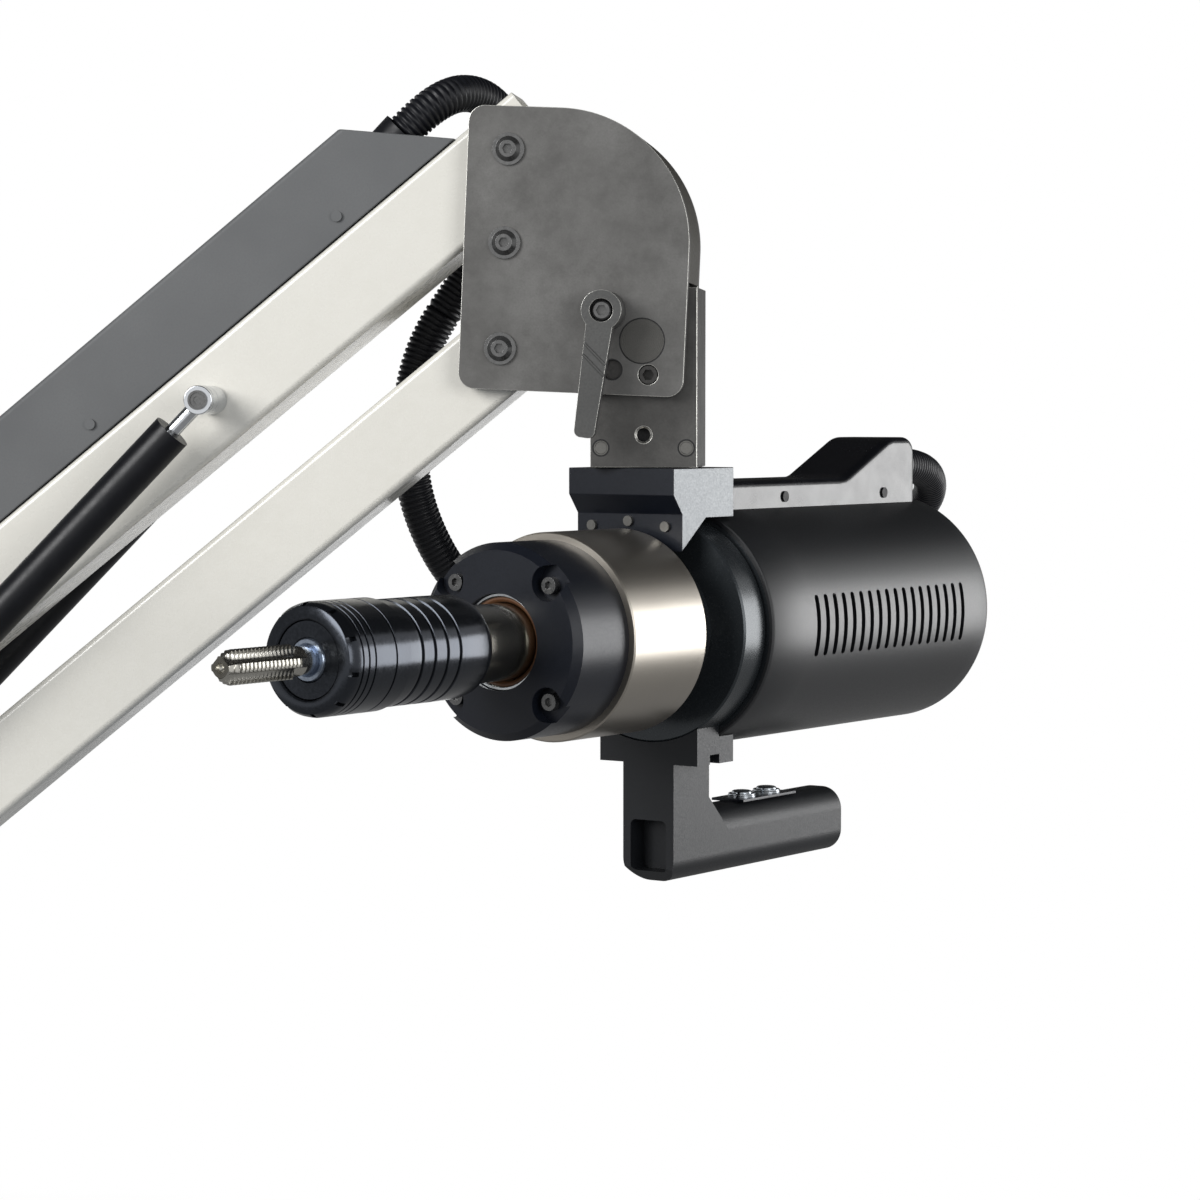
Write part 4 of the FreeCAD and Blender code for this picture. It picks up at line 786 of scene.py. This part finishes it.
cut_with(cover, bpy.context.object)
bpy.ops.object.shade_smooth_by_angle(angle=math.radians(28))

# Top shroud: glossy moulded plastic over the plugs, with softly rounded edges from its mould.
moulded = surfaced("abs_gloss_black", "#0b0c10", metallic=0.0, roughness=0.24, grain_mm=12.0,
                   bump_mm=0.03, second="#101218", amount=0.4, spread=0.04, shine=0.42)
broken_edges("top_shroud", "top_shroud_moulded", edge_mm=1.6, material=moulded, body="tool",
             segments=3)

# Handle: sand-cast aluminium under black structure paint, rough enough to look grey where light grazes it.
# The grip's long edges are rounded for the hand, the saddle block keeps its machined edges.
cast_paint = surfaced("casting_structure_black", "#111316", metallic=0.1, roughness=0.46, grain_mm=0.9,
                      bump_mm=0.12, second="#1a1c20", amount=0.7, shine=0.33)
grip_low, grip_high, grip_half_width = -143, -105.2, 17
grip_shortest, grip_near, grip_round = 40, 0.6, 6
to_tool = tool_place.inverted()
handle = merged_copy("handle", "handle_cast")
bpy.ops.object.mode_set(mode="EDIT")
bpy.ops.mesh.select_all(action="DESELECT")
bpy.ops.object.mode_set(mode="OBJECT")
for edge in handle.data.edges:
    ends = [(to_tool @ handle.data.vertices[i].co) / MM for i in edge.vertices]
    at_side = all(abs(abs(end.y) - grip_half_width) < grip_near for end in ends)
    level_with = [all(abs(end.z - height) < grip_near for end in ends) for height in (grip_low, grip_high)]
    edge.select = at_side and any(level_with) and (ends[0] - ends[1]).length > grip_shortest
bpy.ops.object.mode_set(mode="EDIT")
bpy.ops.mesh.select_mode(type="EDGE")
bpy.ops.mesh.bevel(offset=grip_round * MM, segments=6, profile=0.5)
bpy.ops.object.mode_set(mode="OBJECT")
dress(handle, "handle", edge_mm=1.1, material=cast_paint, body="tool", segments=3,
      sharp=34)
broken_edges("button_plate", "button_plate_sheet", edge_mm=0.3, material=anodised, body="tool")

# Keys: turned stainless caps with a domed top, each in a screwed ring that stands on the plate. Lengths
# of their outlines run up from the plate.
key_metal = surfaced("key_stainless_turned", "#aeb3b8", metallic=1.0, roughness=0.2, grain_mm=1.0,
                     bump_mm=0.02, second="#8e9398", amount=0.5, spread=0.04)
key_radius = 6
key_bore, key_ring_outer = 6.35, 8.4
key_profile = [(-6, 0), (-6, key_radius), (4.2, key_radius), (4.8, 5.6), (5.2, 4.6), (5.4, 2.8), (5.5, 0)]
key_ring_profile = [(1.5, key_bore), (1.5, key_ring_outer), (2.3, key_ring_outer), (2.7, 8.0), (3.3, 8.0),
                    (3.6, 7.6), (3.6, key_bore), (1.5, key_bore)]
keys = (("button_forward", "forward_key", -98), ("button_reverse", "reverse_key", -125))
for node, body, length in keys:
    key = lathe(node + "_domed", key_profile, key_metal, body, [node], steps=48)
    ring = lathe(node + "_ring", key_ring_profile, key_metal, "tool", [], steps=48)
    for piece in (key, ring):
        piece.data.transform(to_tool)
        piece.data.transform(Matrix.Rotation(math.radians(-90), 4, "Y"))
        piece.data.transform(Matrix.Translation((length * MM, 0, grip_high * MM)))
        piece.data.transform(tool_place)


# Quick-change chuck: hardened, blackened and polished steel, which keeps a narrow bright band of light,
# with turned grooves, a sliding front sleeve with ten notches in its rim, and a ground spindle behind.
def grooves(centres, wide, floor_wide, radius, floor_radius):
    """Points of shallow turned grooves, one after another along a profile."""
    points = []
    for centre in centres:
        points += [(centre - wide, radius), (centre - floor_wide, floor_radius),
                   (centre + floor_wide, floor_radius), (centre + wide, radius)]
    return points


blackened = surfaced("chuck_blackened_polished", "#2e3136", metallic=0.85, roughness=0.19, grain_mm=1.5,
                     bump_mm=0.02, second="#3b3e44", amount=0.5, spread=0.05)
shaft_steel = surfaced("shaft_ground_bright", "#a3a097", metallic=1.0, roughness=0.22, grain_mm=3.0,
                       bump_mm=0.002, second="#8f8c84", amount=0.5, spread=0.01)
finish("spindle", shaft_steel)
front_radius = 27.4
neck_radius = 19.6
collet_bore = 11.3
body_profile = [(178, 0), (178, 22.4), (179.4, 24.6), (182.6, 26.4), (186, 27.0)]
body_profile += grooves((209.3, 219.8, 230.2, 240.4), 1.3, 0.9, 27.2, 26.2)
body_profile += [(244, front_radius), (256.6, front_radius), (257.2, 26.8), (257.2, neck_radius),
                 (296.6, neck_radius), (297, 19.2), (297, collet_bore), (250, collet_bore), (250, 0)]
lathe("chuck_body_polished", body_profile, blackened, "rotor", ["chuck_body"])
sleeve_radius, sleeve_bore = 28.6, 19.9
skirt_bore = 27.7
sleeve_profile = [(258, sleeve_bore), (258, skirt_bore), (251.2, skirt_bore), (251.2, 28.2),
                  (251.7, sleeve_radius)]
sleeve_profile += grooves((263.1, 279.6, 284.6, 289.2), 0.7, 0.5, sleeve_radius, 28.0)
sleeve_profile += [(292.4, sleeve_radius), (295.4, 28.0), (297.6, 26.6), (298.2, 25.4), (298.2, 20.6),
                   (297.6, sleeve_bore), (258, sleeve_bore)]
sleeve = lathe("chuck_sleeve_polished", sleeve_profile, blackened, "sleeve", ["chuck_sleeve"])
notch_count = 10
notch_start_share = 0.15
notch_long, notch_wide, notch_deep = 8, 2.4, 3.4
notch_length, notch_radius = 296.2, 28.2
for k in range(notch_count):
    notch = block("notch_cutter", notch_long, notch_wide, notch_deep)
    turn = Matrix.Rotation(2 * math.pi * (k + notch_start_share) / notch_count, 4, "X")
    notch.data.transform(Matrix.Translation((notch_length * MM, 0, notch_radius * MM)))
    notch.data.transform(tool_place @ turn)
    cut_with(sleeve, notch)
bpy.ops.object.shade_smooth_by_angle(angle=math.radians(30))
collet_steel = surfaced("collet_steel_blued", "#8d97a6", metallic=0.9, roughness=0.2, grain_mm=1.5,
                        bump_mm=0.02, second="#a9b2bf", amount=0.5, spread=0.05)
collet_radius = 11
collet_profile = [(250.3, 0), (250.3, collet_radius), (296.6, collet_radius), (298, 10.2), (298, 8.4),
                  (297.2, 7.05), (302, 7.05), (302, 0)]
lathe("tap_collet_ground", collet_profile, collet_steel, "tap_set", ["tap_collet"], steps=64)

# Tap: ground high-speed steel, four straight flutes, a coarse thread with a short taper, centre hole in
# the tip. Crests and flutes are bright, the thread's roots are painted dark as shade, and the tip's end
# face takes the same dark colour. All lengths are in mm.
hss = surfaced("hss_ground_bright", "#b5b3ac", metallic=1.0, roughness=0.26, grain_mm=1.2, bump_mm=0.02,
               second="#96948d", amount=0.5, spread=0.05)
root_shade_dark = surfaced("thread_root_painted_shade", "#55534d", metallic=0.9, roughness=0.36, grain_mm=1.0,
                     bump_mm=0.02)
thread_pitch = 2.9
stations_per_pitch = 8
crest = 8.7
core = 7.5
shank = 7.0
flute_bottom = 4.6
flute_half_angle = 0.5
shank_start, shank_end = 302, 306
flute_run_out = 5
thread_start, taper_start = 311, 355
taper_length = 7
cut_length = 56
tap_sides = 96
tip_hole = ((0.3, 0.0), (0.24, -2.0), (0.05, -3.5))


def tap_radius(length, angle):
    """Radius of the tap at a length along the tool axis and an angle round it."""
    in_flute = abs(angle % (math.pi / 2) - math.pi / 4)
    if length < shank_end:
        return shank
    depth_share = min(max((length - shank_end) / flute_run_out, 0), 1)
    tooth = abs(((length / thread_pitch + angle / (2 * math.pi)) % 1) * 2 - 1)
    outside = core + (crest - core) * (tooth if length > thread_start else 0.0)
    outside -= max(0.0, (length - taper_start) / taper_length) ** 1.3 * 3.0
    if in_flute < flute_half_angle:
        dip = math.cos(in_flute / flute_half_angle * math.pi / 2) ** 0.5
        return outside - depth_share * dip * (outside - flute_bottom)
    return outside


def around(length, radius_at):
    """A ring of places round the tool axis, with a radius for each angle."""
    return [(length * MM, radius_at(a) * MM * math.cos(a), radius_at(a) * MM * math.sin(a))
            for a in round_angles(tap_sides)]


stations = [shank_start, shank_end - 0.1]
stations += [shank_end + k * thread_pitch / stations_per_pitch
             for k in range(int(cut_length / thread_pitch * stations_per_pitch) + 1)]
rings = [around(length, lambda a: tap_radius(length, a)) for length in stations]
rings += [around(stations[-1] + depth, lambda a: share * crest) for share, depth in tip_hole]
tap = skin("tap_ground", rings)
tap.data.transform(tool_place)
alone(tap)
bpy.ops.object.shade_smooth_by_angle(angle=math.radians(25))
tap.data.materials.append(hss)
tap.data.materials.append(root_shade_dark)
root_inner, root_outer = 6.6, 7.95
root_end = 357
tip_face = 361.3
# Faces in the thread's roots take the dark colour as painted shade; the tip's end face takes it too.
for face in tap.data.polygons:
    spot = to_tool @ face.center / MM
    radius = math.hypot(spot.y, spot.z)
    in_root = thread_start < spot.x < root_end and root_inner < radius < root_outer
    if in_root or spot.x > tip_face:
        face.material_index = 1
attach(tap, "tap_set")
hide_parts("tap")
